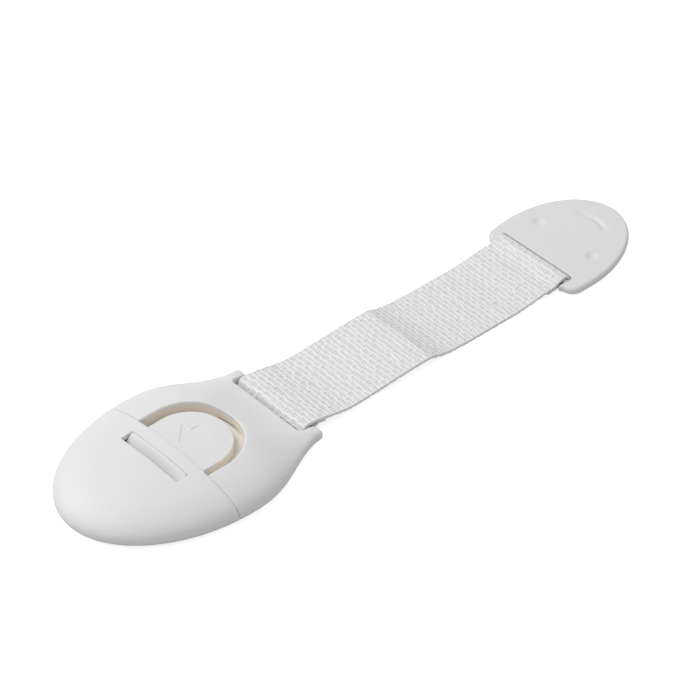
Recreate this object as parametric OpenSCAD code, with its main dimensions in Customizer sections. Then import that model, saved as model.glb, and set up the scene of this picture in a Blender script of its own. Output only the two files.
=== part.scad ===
// Adhesive strap lock for a cupboard or drawer: a pebble-shaped lock head on a foam pad,
// a webbing strap, and a small stick-on tab at the strap's other end.
// +X runs from the head to the tab, +Z is away from the furniture, and the origin is in the
// middle of the head's adhesive face. All sizes are in millimetres.

/* [Lock head] */
// Length of the head to the left of the origin
head_left = 37.5; // [33:0.1:40]
// Half the width of the head at its widest
head_half_w = 26; // [25:0.1:28]
// Height of the dome above the adhesive face
head_h = 9.4; // [9.2:0.1:13]
// Height of the line where the head is widest
rim_z = 2.4; // [2:0.1:3]
// How far the side tucks in below the widest line
rim_tuck = 1.5; // [0.5:0.1:2]
// Wall thickness of the two shells
shell_t = 1.4; // [1.2:0.1:1.8]
// Distance of the seam to the left of the origin
seam_back = 4.8; // [4.2:0.1:6]
// Height of the head shell's lower rim
head_rim_z = 1.4; // [1.2:0.1:1.8]

/* [Tail of the head] */
// Distance of the tail's end from the origin
tail_end = 31; // [30.6:0.1:38]
// Half the width of the tail at its end
tail_half_w = 16.6; // [15.6:0.1:18]
// Height of the tail's flat top
tail_h = 4.8; // [4.6:0.1:6]
// Height of the tail's underside at its end
tail_bottom = 1.5; // [1:0.1:1.8]
// Diameter of the tail's crossbar
tail_bar_d = 2; // [1.6:0.1:2.2]

/* [Button and latch] */
// Radius of the round end of the opening in the head shell
opening_r = 13; // [12.5:0.1:13.5]
// Distance of the round end's centre from the origin
opening_x = 1; // [0:0.1:1.5]
// Width of the groove between the opening and the button
groove_w = 1.95; // [1:0.05:2.2]
// Height of the button's top
button_top = 7.3; // [7.1:0.05:7.5]
// Radius of the button's top edge
button_edge_r = 0.8; // [0.3:0.1:1.2]
// Travel of the button towards the cap
button_travel = 1.6; // [1:0.1:1.7]
// Width of the window in the cap
window_w = 3.7; // [3.4:0.1:4.5]
// Length of the window in the cap
window_l = 21.5; // [16:0.1:22]
// Distance of the window's near edge from the seam
window_inset = 3.7; // [3:0.1:5]
// How far the latch tongue reaches over the keeper
latch_bite = 1.3; // [0.8:0.1:1.3]

/* [Base] */
// Thickness of the foam pads
pad_t = 0.8; // [0.6:0.1:0.9]
// Thickness of the base plate
base_t = 1.2; // [1:0.1:1.3]
// Distance of the base plate's right end from the origin
base_right = 20; // [19:0.1:21]
// How far the foam pad stays inside the base plate
pad_inset = 1.4; // [0.5:0.1:3]

/* [Strap] */
// Width of the webbing
strap_w = 25; // [20:0.5:26]
// Thickness of the webbing
strap_t = 1; // [0.8:0.1:1.2]
// Distance between the two bars that the webbing goes round
strap_span = 91.5; // [70:0.1:140]
// Length of webbing that is turned back under the strap at the head
head_lap = 13; // [10:0.5:20]
// Length of webbing that is turned back under the strap at the tab
tab_lap = 12; // [9:0.5:20]
// Height of the middle of the webbing at its crease
crease_h = 2.6; // [1.5:0.1:5]

/* [Tab] */
// Half the width of the tab
tab_half_w = 16.8; // [15.5:0.1:20]
// Length of the tab from its ears to its tip
tab_l = 34; // [30:0.1:40]
// Thickness of the tab's plate
tab_t = 1.9; // [1.8:0.1:2.4]
// Thickness of the tab's foam pad
tab_pad_t = 0.6; // [0.4:0.1:0.7]
// Diameter of the tab's bar
tab_bar_d = 1.4; // [1.2:0.1:1.5]

/* [Clearances] */
// Gap between the cap and the head shell
seam_gap = 0.3; // [0.2:0.05:0.5]
// Gap between sliding or lifting pieces
run_gap = 0.3; // [0.2:0.05:0.4]
// Gap between the webbing and the bar inside it
loop_gap = 0.15; // [0.1:0.05:0.3]
// Gap between pieces that are pushed together
push_gap = 0.05; // [0.03:0.01:0.1]

/* [Hidden] */
$fn = 64;

// One overrun for every cut
over = 1;

// Colours of the moulded plastic, the inner pieces, the foam, the webbing and the steel
shell_white = [0.93, 0.93, 0.93];
inner_white = [0.86, 0.82, 0.76];
foam_white = [0.80, 0.80, 0.79];
web_white = [0.95, 0.95, 0.94];
steel_grey = [0.70, 0.71, 0.73];

// Shape of the dome: exponents of its cross-section over the body and over the tail
dome_power = 2.2;
tail_power = 3.6;
// Where the dome starts to fall and where the tail is flat, as shares of the tail's reach
fall_start_share = 0.2;
fall_end_share = 0.66;
// How late the sides draw in towards the tail
shoulder_power = 1.12;
// Radius of the tail's corners in plan
tail_corner_r = 1.6;
// Height of the tail's widest line
tail_rim_z = 3;
// Ring angles from the widest line up to the crown, in degrees
crown_angles = [0, 9, 20, 33, 47, 61, 75, 85];
// Ring angles of the hollow's dome
cavity_angles = [0, 18, 38, 60, 80];
// Ring angles from the bottom edge up to the widest line, in degrees
tuck_angles = [90, 60, 30];
// Points along a quarter of the outline to the left, and along its shoulder to the right
left_points = 13;
right_points = 9;
corner_points = 2;
// Point along the tail's straight end, as a share of its half width
end_point_share = 0.33;
// Points along the outline of the base plate and its pad
oval_points = 48;

// Heights and places worked out from the sizes above
base_bottom = pad_t;
base_top = pad_t + base_t;
seam_x = -seam_back;
cavity_inset = rim_tuck + shell_t;
cavity_left = head_left - cavity_inset;
cavity_half_w = head_half_w - cavity_inset;
cavity_right = base_right + run_gap;
button_r = opening_r - groove_w;

// Collar that lines the opening in the head shell
collar_t = 1.3;
collar_bottom = 5.2;

// Slide under the button: its plate, its flanges and the guide rails beside them
slide_top = 4.8;
slide_plate_t = 1.2;
slide_half_w = 9.3;
slide_left = 14.2;
slide_right = 11.6;
slide_wall_t = 1.4;
flange_w = 1.2;
flange_t = 0.9;
rail_t = 1.2;
rail_lip_t = 0.8;
rail_right = 5.5;
slide_foot = base_top + run_gap;
flange_half_w = slide_half_w + flange_w;
rail_inner = flange_half_w + run_gap;
rail_top = slide_foot + flange_t + run_gap + rail_lip_t;

// Button: its plate, its skirt, and the catch that shows in the cap's window
button_plate_t = 1.2;
button_wall_t = 1.3;
button_left = slide_left - run_gap;
// The D-shaped top ends at the cap, and a lower plate runs on under it
button_back = seam_x - button_travel - 2 * run_gap;
plate_drop = 0.5;
plate_top = button_top - plate_drop;
catch_gap = 0.2;
window_right = seam_x - window_inset;
window_left = window_right - window_w;
catch_right = window_right - catch_gap;
catch_crest = 0.3;
catch_ramp = 2;
catch_top = dome_z(catch_right, 0) - catch_gap;

// Latch tongue and the keeper shelf that it reaches over
tongue_t = 0.9;
tongue_drop = 0.4;
tongue_top = slide_top - tongue_drop;
tongue_half_w = 4;
tongue_bottom = tongue_top - tongue_t;
// Free length of the tongue, and the length and height of its nose
tongue_free_l = 3.3;
tongue_nose_l = 2;
tongue_nose_t = 0.4;
keeper_t = 0.8;
keeper_top = tongue_bottom - run_gap;
keeper_half_w = 5.2;
keeper_left = slide_right + tongue_free_l;
tongue_right = keeper_left + latch_bite;

// Ribs of the head shell that pull against posts on the base plate
post_t = 2;
post_w = 2.8;
post_y = 16;
post_top = 4;
post_left = 8;
rib_t = 1.8;
rib_left = post_left - run_gap - rib_t;

// Pins of the base plate that the cap's bosses are pushed over
pin_d = 2.4;
boss_d = 4.8;
pin_x = -20;
pin_y = 10.5;
pin_top = 5.2;
boss_sink = 0.35;
boss_top = dome_z(pin_x - boss_d / 2, pin_y + boss_d / 2) - boss_sink;

// Return spring between the base plate's seat and the slide
spring_d = 3.4;
spring_wire = 0.45;
spring_turns = 6;
spring_steps = 14;
spring_sides = 6;
spring_peg_d = 2;
spring_peg_l = 2;
spring_z = slide_top - slide_plate_t / 2 - spring_wire;
seat_t = 1.6;
seat_half_w = 4.5;
spring_right = -slide_left - push_gap;
spring_l = 5.6;
seat_right = spring_right - spring_l - push_gap;

// Slot in the tail and the bar that the webbing goes round
slot_side_gap = 0.7;
slot_front_gap = 1.15;
bar_inset = 0.9;
slot_half_l = strap_w / 2 + slot_side_gap;
head_loop_r = tail_bar_d / 2 + loop_gap + strap_t;
bar_x = tail_end - tail_bar_d / 2 - bar_inset;
bar_z = 2.35;
slot_left = bar_x - head_loop_r - slot_front_gap;

// Tab: its place follows the strap's length
tab_bar_x = bar_x + strap_span;
tab_loop_r = tab_bar_d / 2 + loop_gap + strap_t;
tab_bar_z = tab_loop_r;
tab_ear_reach = 1.6;
tab_left = tab_bar_x - tab_bar_d / 2 - tab_ear_reach;
tab_tip = tab_left + tab_l;
tab_slot_front_gap = 0.4;
tab_slot_side_gap = 1.1;
tab_slot_right = tab_bar_x + tab_loop_r + tab_slot_front_gap;
tab_slot_half_l = strap_w / 2 + tab_slot_side_gap;
tab_top = tab_pad_t + tab_t;
// Where the tab's round end begins, as a share of its length
tab_round_share = 0.326;
tab_edge_r = 1;
tab_ear_r = 2.4;
tab_ear_inset = 0.5;
tab_pad_gap = 1.5;
tab_points = 22;
// Two thumb dimples and the grip groove in the tab's face
dimple_r = 2.4;
dimple_depth = 0.5;
dimple_from_bar = 12.7;
dimple_x = tab_bar_x + dimple_from_bar;
dimple_y = 10.3;
groove_arc_r = 9.5;
groove_tube_r = 1.3;
groove_depth = 0.45;
groove_half_angle = 38;
groove_from_tip = 16.5;
groove_x = tab_tip - groove_from_tip;

// Crease of the strap: its place as a share of the span, half its length, and its free ends
crease_share = 0.448;
crease_x = bar_x + crease_share * strap_span;
crease_half = strap_t;
crease_gap = 0.05;
// Lowest point of the webbing between the head and its crease, and the stretch that lies flat
dip_share = 0.38;
dip_h = 1.6;
touch_share = 0.31;
leave_share = 0.64;
// Length over which a turned-back layer climbs from its bar to the layer above
lap_reach = 6;

function smooth(u) = u <= 0 ? 0 : u >= 1 ? 1 : u * u * (3 - 2 * u);
function mix(a, b, u) = a + (b - a) * u;
function reverse(list) = [for (i = [len(list) - 1 : -1 : 0]) list[i]];

// Half the head's width at a distance x from the origin
function head_half(x) = x < 0
    ? head_half_w * sqrt(max(0, 1 - pow(x / head_left, 2)))
    : mix(tail_half_w, head_half_w, (1 + cos(180 * pow(x / tail_end, shoulder_power))) / 2);

// Height of the head's middle line at x, and how far x lies into the tail
function into_tail(x) = smooth((x / tail_end - fall_start_share) / (fall_end_share - fall_start_share));
function crown_z(x) = mix(head_h, tail_h, into_tail(x));

// One side of the head's outline, from the left tip to the tail's end
corner_x = tail_end - tail_corner_r;
corner_y = head_half(corner_x) - tail_corner_r;
half_outline = concat(
    [for (i = [0 : left_points]) let (a = 90 * i / left_points) [-head_left * cos(a), head_half_w * sin(a)]],
    [for (i = [1 : right_points]) let (x = corner_x * i / right_points) [x, head_half(x)]],
    [for (i = [1 : corner_points]) let (a = 90 - 90 * i / corner_points)
        [corner_x + tail_corner_r * cos(a), corner_y + tail_corner_r * sin(a)]],
    [[tail_end, corner_y * end_point_share]]
);
head_outline = concat(half_outline,
    [for (i = [len(half_outline) - 1 : -1 : 1]) [half_outline[i][0], -half_outline[i][1]]]);

// Outline of the cavity and of the base plate: two half ellipses
function oval(left, right, half_w, count) =
    [for (i = [0 : count - 1]) let (a = 180 - 360 * i / count, x = cos(a))
        [x < 0 ? left * x : right * x, half_w * sin(a)]];

// An outline drawn in by a distance, towards the origin
function drawn_in(outline, d) = [for (p = outline) p * (1 - d / norm(p))];

// Height of the widest line and of the bottom edge below an outline point
function rim_at(x) = mix(rim_z, tail_rim_z, into_tail(x));
function bottom_at(x, low) = mix(low, tail_bottom, into_tail(x));

// One ring of a dome: the outline scaled to s, raised by the dome's own curve
function crown_ring(outline, angle, drop) =
    let (s = pow(cos(angle), 2 / dome_power))
    [for (p = outline) let (
        n = mix(dome_power, tail_power, into_tail(p[0])),
        z = rim_at(p[0]),
        rise = pow(1 - pow(s, n), 1 / n))
        [s * p[0], s * p[1], z + (crown_z(s * p[0]) - drop - z) * rise]];

// One ring of the tucked-in side below the widest line
function tuck_ring(outline, angle, tuck, low) =
    let (inner = drawn_in(outline, tuck * (1 - cos(angle))))
    [for (i = [0 : len(outline) - 1]) let (z = rim_at(outline[i][0]), b = bottom_at(outline[i][0], low))
        [inner[i][0], inner[i][1], z - (z - b) * sin(angle)]];

// Height of the cap's outer surface over a point to the left of the origin
function dome_z(x, y) =
    let (r = min(1, norm([x / head_left, y / head_half_w])))
    rim_z + (head_h - rim_z) * pow(1 - pow(r, dome_power), 1 / dome_power);

// Where the direction of an outline point meets the oval of the cavity
function on_oval(p, left, right, half_w) = p / norm([p[0] / (p[0] < 0 ? left : right), p[1] / half_w]);

// A closed skin over a list of rings, with a point in the middle of each end
module ring_stack(rings, first_point, last_point) {
    n = len(rings[0]);
    m = len(rings);
    points = concat([for (r = rings) each r], [first_point, last_point]);
    walls = [for (j = [0 : m - 2], i = [0 : n - 1]) let (k = (i + 1) % n)
        each [[j * n + i, (j + 1) * n + k, (j + 1) * n + i], [j * n + i, j * n + k, (j + 1) * n + k]]];
    first_end = [for (i = [0 : n - 1]) [n * m, (i + 1) % n, i]];
    last_end = [for (i = [0 : n - 1]) [n * m + 1, (m - 1) * n + i, (m - 1) * n + (i + 1) % n]];
    polyhedron(points = points, faces = concat(walls, first_end, last_end), convexity = 6);
}

// Outer rings of the whole head, from its bottom edge up to its crown
function outer_rings(inset, drop) =
    let (outline = drawn_in(head_outline, inset))
    concat(
        [for (a = tuck_angles) tuck_ring(outline, a, rim_tuck, base_bottom)],
        [for (a = crown_angles) crown_ring(outline, a, drop)]);

// Rings of the hollow under the shells, from its crown down to the bottom edge
cavity_wide = [for (p = head_outline)
    on_oval(p, cavity_left + rim_tuck, cavity_right, cavity_half_w + rim_tuck)];
cavity_low = [for (p = head_outline) on_oval(p, cavity_left, cavity_right, cavity_half_w)];
cavity_rings = concat(
    [for (i = [len(cavity_angles) - 1 : -1 : 0]) crown_ring(cavity_wide, cavity_angles[i], shell_t)],
    [[for (p = cavity_low) [p[0], p[1], bottom_at(p[0], base_bottom)]]]);

// Hollow shell of the whole head, cap and tail in one
module head_skin() {
    ring_stack(concat(cavity_rings, outer_rings(0, 0)), [0, 0, head_h - shell_t], [0, 0, head_h]);
}

// Solid form that ends halfway through the shell, to trim what grows out of the wall
module wall_form() {
    ring_stack(outer_rings(shell_t / 2, shell_t / 2), [0, 0, base_bottom], [0, 0, head_h - shell_t / 2]);
}

// Plan of the opening or the button: a round end with straight sides back to x
module d_plan(r, back) {
    translate([opening_x, 0]) circle(r = r);
    translate([back, -r]) square([opening_x - back, 2 * r]);
}

// A box given by its low and high corners
module block(low, high) {
    translate(low) cube(high - low);
}

// The same shape on both sides of the middle
module both_sides() {
    children();
    mirror([0, 1, 0]) children();
}

module base_foam_pad() {
    color(foam_white)
    linear_extrude(pad_t)
    polygon(oval(cavity_left - run_gap - pad_inset, base_right - pad_inset,
                 cavity_half_w - run_gap - pad_inset, oval_points));
}

module base_plate() {
    color(inner_white) {
        translate([0, 0, base_bottom])
        linear_extrude(base_t)
        polygon(oval(cavity_left - run_gap, base_right, cavity_half_w - run_gap, oval_points));
        // Guide rails with lips over the slide's flanges
        both_sides() {
            block([-slide_left, rail_inner, base_top], [rail_right, rail_inner + rail_t, rail_top]);
            block([-slide_left, slide_half_w + run_gap, rail_top - rail_lip_t],
                  [rail_right, rail_inner + rail_t, rail_top]);
            // Posts that the head shell's ribs pull against
            block([post_left, post_y - post_w / 2, base_top],
                  [post_left + post_t, post_y + post_w / 2, post_top]);
            // Pins for the cap
            translate([pin_x, pin_y, base_top]) cylinder(d = pin_d, h = pin_top - base_top);
        }
        // Spring seat with its peg
        block([seat_right - seat_t, -seat_half_w, base_top],
              [seat_right, seat_half_w, spring_z + spring_d / 2 + spring_wire]);
        translate([seat_right, 0, spring_z]) rotate([0, 90, 0])
        cylinder(d = spring_peg_d, h = spring_peg_l);
    }
}

module front_cap() {
    color(shell_white)
    difference() {
        union() {
            difference() {
                head_skin();
                // Everything to the right of the seam
                block([seam_x, -head_half_w - over, -over],
                      [tail_end + over, head_half_w + over, head_h + over]);
            }
            // Bosses over the base plate's pins
            both_sides() translate([pin_x, pin_y, base_top + run_gap])
            cylinder(d = boss_d, h = boss_top - base_top - run_gap);
        }
        // Window over the button's catch
        block([window_left, -window_l / 2, boss_top], [window_right, window_l / 2, head_h + over]);
        // Bores of the bosses
        both_sides() translate([pin_x, pin_y, 0])
        cylinder(d = pin_d + 2 * push_gap, h = pin_top + push_gap);
    }
}

module return_spring() {
    r = (spring_d - spring_wire) / 2;
    total = spring_turns * spring_steps;
    pitch_l = spring_l - spring_wire;
    rings = [for (i = [0 : total]) let (
        a = 360 * i / spring_steps,
        x = spring_right - spring_l + spring_wire / 2 + pitch_l * i / total)
        [for (k = [0 : spring_sides - 1]) let (b = 360 * k / spring_sides, q = r + spring_wire / 2 * cos(b))
            [x + spring_wire / 2 * sin(b), q * cos(a), spring_z + q * sin(a)]]];
    first = [spring_right - spring_l + spring_wire / 2, r, spring_z];
    last = [spring_right - spring_wire / 2, r, spring_z];
    color(steel_grey) ring_stack(rings, first, last);
}

// A round-ended bead with a rounded top edge, for the button
module button_body(top, bottom, r, edge_r, back) {
    profile = concat([[0, bottom], [r, bottom]],
        [for (a = [0 : 15 : 90]) [r - edge_r + edge_r * cos(a), top - edge_r + edge_r * sin(a)]],
        [[0, top]]);
    translate([opening_x, 0, 0]) rotate([0, 0, -90]) rotate_extrude(angle = 180) polygon(profile);
    translate([opening_x, 0, 0]) rotate([90, 0, -90]) linear_extrude(opening_x - back)
    polygon(concat(profile, [for (i = [len(profile) - 2 : -1 : 1]) [-profile[i][0], profile[i][1]]]));
}

module release_button() {
    // Radius of the catch's back, which follows the dome between its two ends
    half_l = window_l / 2 - catch_gap;
    sag = dome_z(catch_right, 0) - dome_z(catch_right, half_l);
    back_r = (half_l * half_l + sag * sag) / (2 * sag);
    color(shell_white)
    difference() {
        union() {
            button_body(button_top, slide_top + push_gap, button_r, button_edge_r, button_back);
            // Plate that runs on under the cap
            block([-button_left, -half_l, slide_top + push_gap], [button_back + over, half_l, plate_top]);
            // Ramped catch in the cap's window
            intersection() {
                across(half_l)
                polygon([
                    [catch_right, slide_top + button_plate_t],
                    [catch_right, head_h],
                    [catch_right - catch_crest, head_h],
                    [catch_right - catch_crest - catch_ramp, plate_top],
                    [catch_right - catch_crest - catch_ramp, slide_top + button_plate_t]
                ]);
                translate([window_left - over, 0, catch_top - back_r]) rotate([0, 90, 0])
                cylinder(r = back_r, h = window_w + 2 * over, $fn = 720);
            }
        }
        // Hollow underside
        translate([0, 0, slide_top - over])
        linear_extrude(button_top - button_plate_t - slide_top + over)
        d_plan(button_r - button_wall_t, button_back + button_wall_t);
    }
}

module latch_slide() {
    color(inner_white) {
        block([-slide_left, -slide_half_w, slide_top - slide_plate_t], [slide_right, slide_half_w, slide_top]);
        both_sides() {
            block([-slide_left, slide_half_w - slide_wall_t, slide_foot],
                  [slide_right, slide_half_w, slide_top]);
            block([-slide_left, slide_half_w - slide_wall_t, slide_foot],
                  [slide_right, flange_half_w, slide_foot + flange_t]);
        }
        // Peg for the spring
        translate([-slide_left - spring_peg_l + push_gap, 0, spring_z]) rotate([0, 90, 0])
        cylinder(d = spring_peg_d, h = spring_peg_l);
    }
}

module latch_tongue() {
    color(inner_white)
    rotate([90, 0, 0]) translate([0, 0, -tongue_half_w]) linear_extrude(2 * tongue_half_w)
    polygon([
        [slide_right + push_gap, tongue_top],
        [slide_right + push_gap, tongue_bottom],
        [tongue_right, tongue_bottom],
        [tongue_right, tongue_bottom + tongue_nose_t],
        [tongue_right - tongue_nose_l, tongue_top]
    ]);
}

module head_shell() {
    color(shell_white)
    difference() {
        union() {
            head_skin();
            intersection() {
                wall_form();
                union() {
                    // Collar round the button's opening
                    translate([0, 0, collar_bottom]) linear_extrude(head_h)
                    d_plan(opening_r + collar_t, seam_x);
                    // Ribs beside the posts, and the keeper shelf
                    both_sides()
                    block([rib_left, post_y - post_w / 2, base_top + run_gap],
                          [rib_left + rib_t, post_y + post_w / 2, head_h]);
                    block([keeper_left, -keeper_half_w, keeper_top - keeper_t],
                          [cavity_right + over, keeper_half_w, keeper_top]);
                }
            }
        }
        // Everything to the left of the seam and below the rim
        block([-head_left - over, -head_half_w - over, -over],
              [seam_x + seam_gap, head_half_w + over, head_h + over]);
        block([seam_x - over, -head_half_w - over, -over], [cavity_right, head_half_w + over, head_rim_z]);
        // Opening round the button
        translate([0, 0, -over]) linear_extrude(head_h + 2 * over) d_plan(opening_r, seam_x - over);
        // Slot for the webbing, with the bar left standing
        difference() {
            block([slot_left, -slot_half_l, -over], [tail_end + over, slot_half_l, head_h + over]);
            translate([bar_x, slot_half_l + over, bar_z]) rotate([90, 0, 0])
            cylinder(d = tail_bar_d, h = 2 * (slot_half_l + over));
        }
    }
}

// Middle line of the webbing: it dips behind the head, rises to its crease, lies on the
// furniture, rests on its own lap and climbs over the tab's bar
web_marks = [
    [bar_x, bar_z + head_loop_r - strap_t / 2],
    [mix(bar_x, crease_x, dip_share), dip_h],
    [crease_x, crease_h],
    [mix(crease_x, tab_bar_x, touch_share), strap_t / 2],
    [mix(crease_x, tab_bar_x, leave_share), strap_t / 2],
    [tab_bar_x - tab_lap, strap_t * 3 / 2 + push_gap],
    [tab_bar_x - lap_reach, strap_t * 3 / 2 + push_gap],
    [tab_bar_x, tab_bar_z + tab_loop_r - strap_t / 2]
];
function web_z(x, i = 0) =
    i == len(web_marks) - 1 ? web_marks[i][1]
    : x <= web_marks[i + 1][0]
        ? mix(web_marks[i][1], web_marks[i + 1][1],
              smooth((x - web_marks[i][0]) / (web_marks[i + 1][0] - web_marks[i][0])))
        : web_z(x, i + 1);

// Distance between points along the webbing, and points round each bar
web_step = 1.5;
loop_points = 12;

// A strip of webbing along a middle line of points, as a closed outline in X and Z
function side_of(path, i, d) =
    let (
        a = path[max(i - 1, 0)],
        b = path[min(i + 1, len(path) - 1)],
        t = (b - a) / norm(b - a))
    path[i] + d * [-t[1], t[0]];
function strip(path) = concat(
    [for (i = [0 : len(path) - 1]) side_of(path, i, strap_t / 2)],
    [for (i = [len(path) - 1 : -1 : 0]) side_of(path, i, -strap_t / 2)]);

function upper_path(x0, x1) =
    let (n = ceil((x1 - x0) / web_step))
    [for (i = [0 : n]) let (x = mix(x0, x1, i / n)) [x, web_z(x)]];

// Lower layer: from under the bar up to just below the upper layer, then along it
function lap_z(x, bar, bar_mid, r, reach) =
    mix(bar_mid - r + strap_t / 2, web_z(x) - strap_t - push_gap, smooth(abs(x - bar) / reach));
function lap_path(bar, bar_mid, r, length, reach, way) =
    let (n = ceil(length / web_step))
    [for (i = [0 : n]) let (x = bar + way * length * i / n) [x, lap_z(x, bar, bar_mid, r, reach)]];

// Webbing standing across the strap from a side view outline
module across(half_w) {
    rotate([90, 0, 0]) translate([0, 0, -half_w]) linear_extrude(2 * half_w) children();
}

// Half turn of webbing round a bar, from under it to over it; way is 1 when the strap leaves
// to the right and -1 when it leaves to the left
function loop_path(bar, bar_mid, r, way) =
    [for (i = [1 : loop_points - 1]) let (a = 180 * i / loop_points)
        [bar - way * (r - strap_t / 2) * sin(a), bar_mid - (r - strap_t / 2) * cos(a)]];

// The whole way of one end: along the lap, round the bar and off to x
function end_path(bar, bar_mid, r, lap, way, x) = concat(
    reverse(lap_path(bar, bar_mid, r, lap, lap_reach, way)),
    loop_path(bar, bar_mid, r, way),
    way > 0 ? upper_path(bar, x) : reverse(upper_path(x, bar)));

module strap_head_half() {
    color(web_white) across(strap_w / 2)
    polygon(strip(end_path(bar_x, bar_z, head_loop_r, head_lap, 1, crease_x - crease_half)));
}

module strap_crease() {
    color(web_white) across(strap_w / 2)
    polygon(strip(upper_path(crease_x - crease_half + crease_gap, crease_x + crease_half - crease_gap)));
}

module strap_tab_half() {
    color(web_white) across(strap_w / 2)
    polygon(strip(end_path(tab_bar_x, tab_bar_z, tab_loop_r, tab_lap, -1, crease_x + crease_half)));
}

// Outline of the tab: rounded ears on the left and a half-oval end on the right
tab_mid = mix(tab_left, tab_tip, tab_round_share);
tab_half_outline = concat(
    [for (i = [0 : 4]) let (a = 180 - 90 * i / 4)
        [tab_left + tab_ear_r + tab_ear_r * cos(a), tab_half_w - tab_ear_inset - tab_ear_r + tab_ear_r * sin(a)]],
    [for (i = [0 : tab_points]) let (a = 90 - 90 * i / tab_points)
        [tab_mid + (tab_tip - tab_mid) * cos(a), tab_half_w * sin(a)]]);
tab_outline = concat(tab_half_outline,
    [for (i = [len(tab_half_outline) - 2 : -1 : 0]) [tab_half_outline[i][0], -tab_half_outline[i][1]]]);

module tab_plate() {
    centre = [tab_mid, 0];
    flat = [for (p = tab_outline) p - centre];
    rings = concat(
        [[for (p = flat) [p[0] + tab_mid, p[1], tab_pad_t]]],
        [for (a = [0 : 18 : 90]) let (q = drawn_in(flat, tab_edge_r * (1 - cos(a))))
            [for (p = q) [p[0] + tab_mid, p[1], tab_top - tab_edge_r + tab_edge_r * sin(a)]]]);
    color(shell_white) {
        difference() {
            ring_stack(rings, [tab_mid, 0, tab_pad_t], [tab_mid, 0, tab_top]);
            block([tab_left - over, -tab_slot_half_l, -over], [tab_slot_right, tab_slot_half_l, tab_top + over]);
            // Thumb dimples
            for (side = [-1, 1])
                translate([dimple_x, side * dimple_y, tab_top - dimple_depth + dimple_r])
                sphere(r = dimple_r);
            // Grip groove
            translate([groove_x, 0, tab_top - groove_depth + groove_tube_r])
            rotate([0, 0, -groove_half_angle]) rotate_extrude(angle = 2 * groove_half_angle)
            translate([groove_arc_r, 0]) circle(r = groove_tube_r);
        }
        translate([tab_bar_x, tab_slot_half_l + push_gap, tab_bar_z]) rotate([90, 0, 0])
        cylinder(d = tab_bar_d, h = 2 * (tab_slot_half_l + push_gap));
    }
}

module tab_foam_pad() {
    left = tab_slot_right + tab_pad_gap;
    centre = [tab_mid, 0];
    flat = [for (p = tab_outline) p - centre];
    color(foam_white)
    intersection() {
        linear_extrude(tab_pad_t)
        polygon([for (p = drawn_in(flat, tab_pad_gap)) p + centre]);
        block([left, -tab_half_w, -over], [tab_tip, tab_half_w, tab_pad_t + over]);
    }
}

base_foam_pad();
base_plate();
front_cap();
return_spring();
release_button();
latch_slide();
latch_tongue();
head_shell();
strap_head_half();
strap_crease();
strap_tab_half();
tab_plate();
tab_foam_pad();
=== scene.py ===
"""Looks of a stick-on strap lock for a cupboard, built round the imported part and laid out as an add-on."""

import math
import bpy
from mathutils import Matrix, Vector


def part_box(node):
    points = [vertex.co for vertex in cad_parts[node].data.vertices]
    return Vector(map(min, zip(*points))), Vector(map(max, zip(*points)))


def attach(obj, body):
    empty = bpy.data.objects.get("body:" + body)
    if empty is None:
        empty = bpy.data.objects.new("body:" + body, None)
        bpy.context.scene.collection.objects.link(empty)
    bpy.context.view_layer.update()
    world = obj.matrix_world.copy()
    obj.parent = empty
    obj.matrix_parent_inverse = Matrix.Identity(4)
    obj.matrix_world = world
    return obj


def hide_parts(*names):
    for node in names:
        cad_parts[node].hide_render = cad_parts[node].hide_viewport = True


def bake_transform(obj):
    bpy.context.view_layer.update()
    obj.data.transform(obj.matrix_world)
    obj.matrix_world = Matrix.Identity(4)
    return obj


bl_info = {
    "name": "Cabinet strap lock",
    "version": (1, 0, 0),
    "blender": (4, 5, 0),
    "location": "View3D > Sidebar > Strap lock",
    "description": "Builds the shells, button, tab, pads and webbing of a cabinet strap lock",
    "category": "Object",
}

import bpy
import numpy as np
from mathutils import Matrix, Vector

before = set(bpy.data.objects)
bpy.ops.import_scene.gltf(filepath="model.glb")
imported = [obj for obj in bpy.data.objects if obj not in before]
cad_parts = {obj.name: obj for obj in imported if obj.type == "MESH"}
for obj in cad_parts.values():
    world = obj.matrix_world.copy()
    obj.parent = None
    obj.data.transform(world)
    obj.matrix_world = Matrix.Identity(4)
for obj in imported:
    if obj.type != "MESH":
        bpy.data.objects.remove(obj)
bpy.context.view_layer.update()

MM = 0.001
WELD = 0.002 * MM

# Sizes of the head, in millimetres
HEAD_LEFT, HEAD_HALF_W, HEAD_H = 37.5, 26.0, 9.4
RIM_Z, TAIL_RIM_Z, RIM_TUCK, TAIL_TUCK = 2.4, 2.1, 1.5, 0.3
SHELL_T = 1.4
SEAM_X, SEAM_GAP = -4.8, 0.2
CAP_BOTTOM, SHELL_BOTTOM, TAIL_BOTTOM = 0.8, 1.4, 1.5
TAIL_END, TAIL_HALF_W, TAIL_H, TAIL_CORNER = 31.0, 16.6, 4.8, 0.9
OPENING_X, OPENING_Y, OPENING_R = 1.0, -0.4, 13.4
COLLAR_T, COLLAR_BOTTOM = 1.3, 4.95
CAVITY_LEFT, CAVITY_RIGHT, CAVITY_HALF_W = 34.6, 20.3, 23.1
LEDGE_DROP, LEDGE_REACH, LEDGE_ROOT, LEDGE_GAP, LEDGE_END = 0.26, 0.17, 0.4, 0.15, 24.6
LEDGE_LOW = SHELL_T - 0.1
WINDOW_LEFT, WINDOW_RIGHT, WINDOW_HALF_L = -12.2, -8.5, 10.75
SLOT_LEFT, SLOT_HALF_L, SLOT_CORNER = 25.8, 13.2, 0.9
BAR_X, BAR_Z, BAR_D, BAR_ROOT = 29.1, 2.35, 2.0, 0.6

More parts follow.
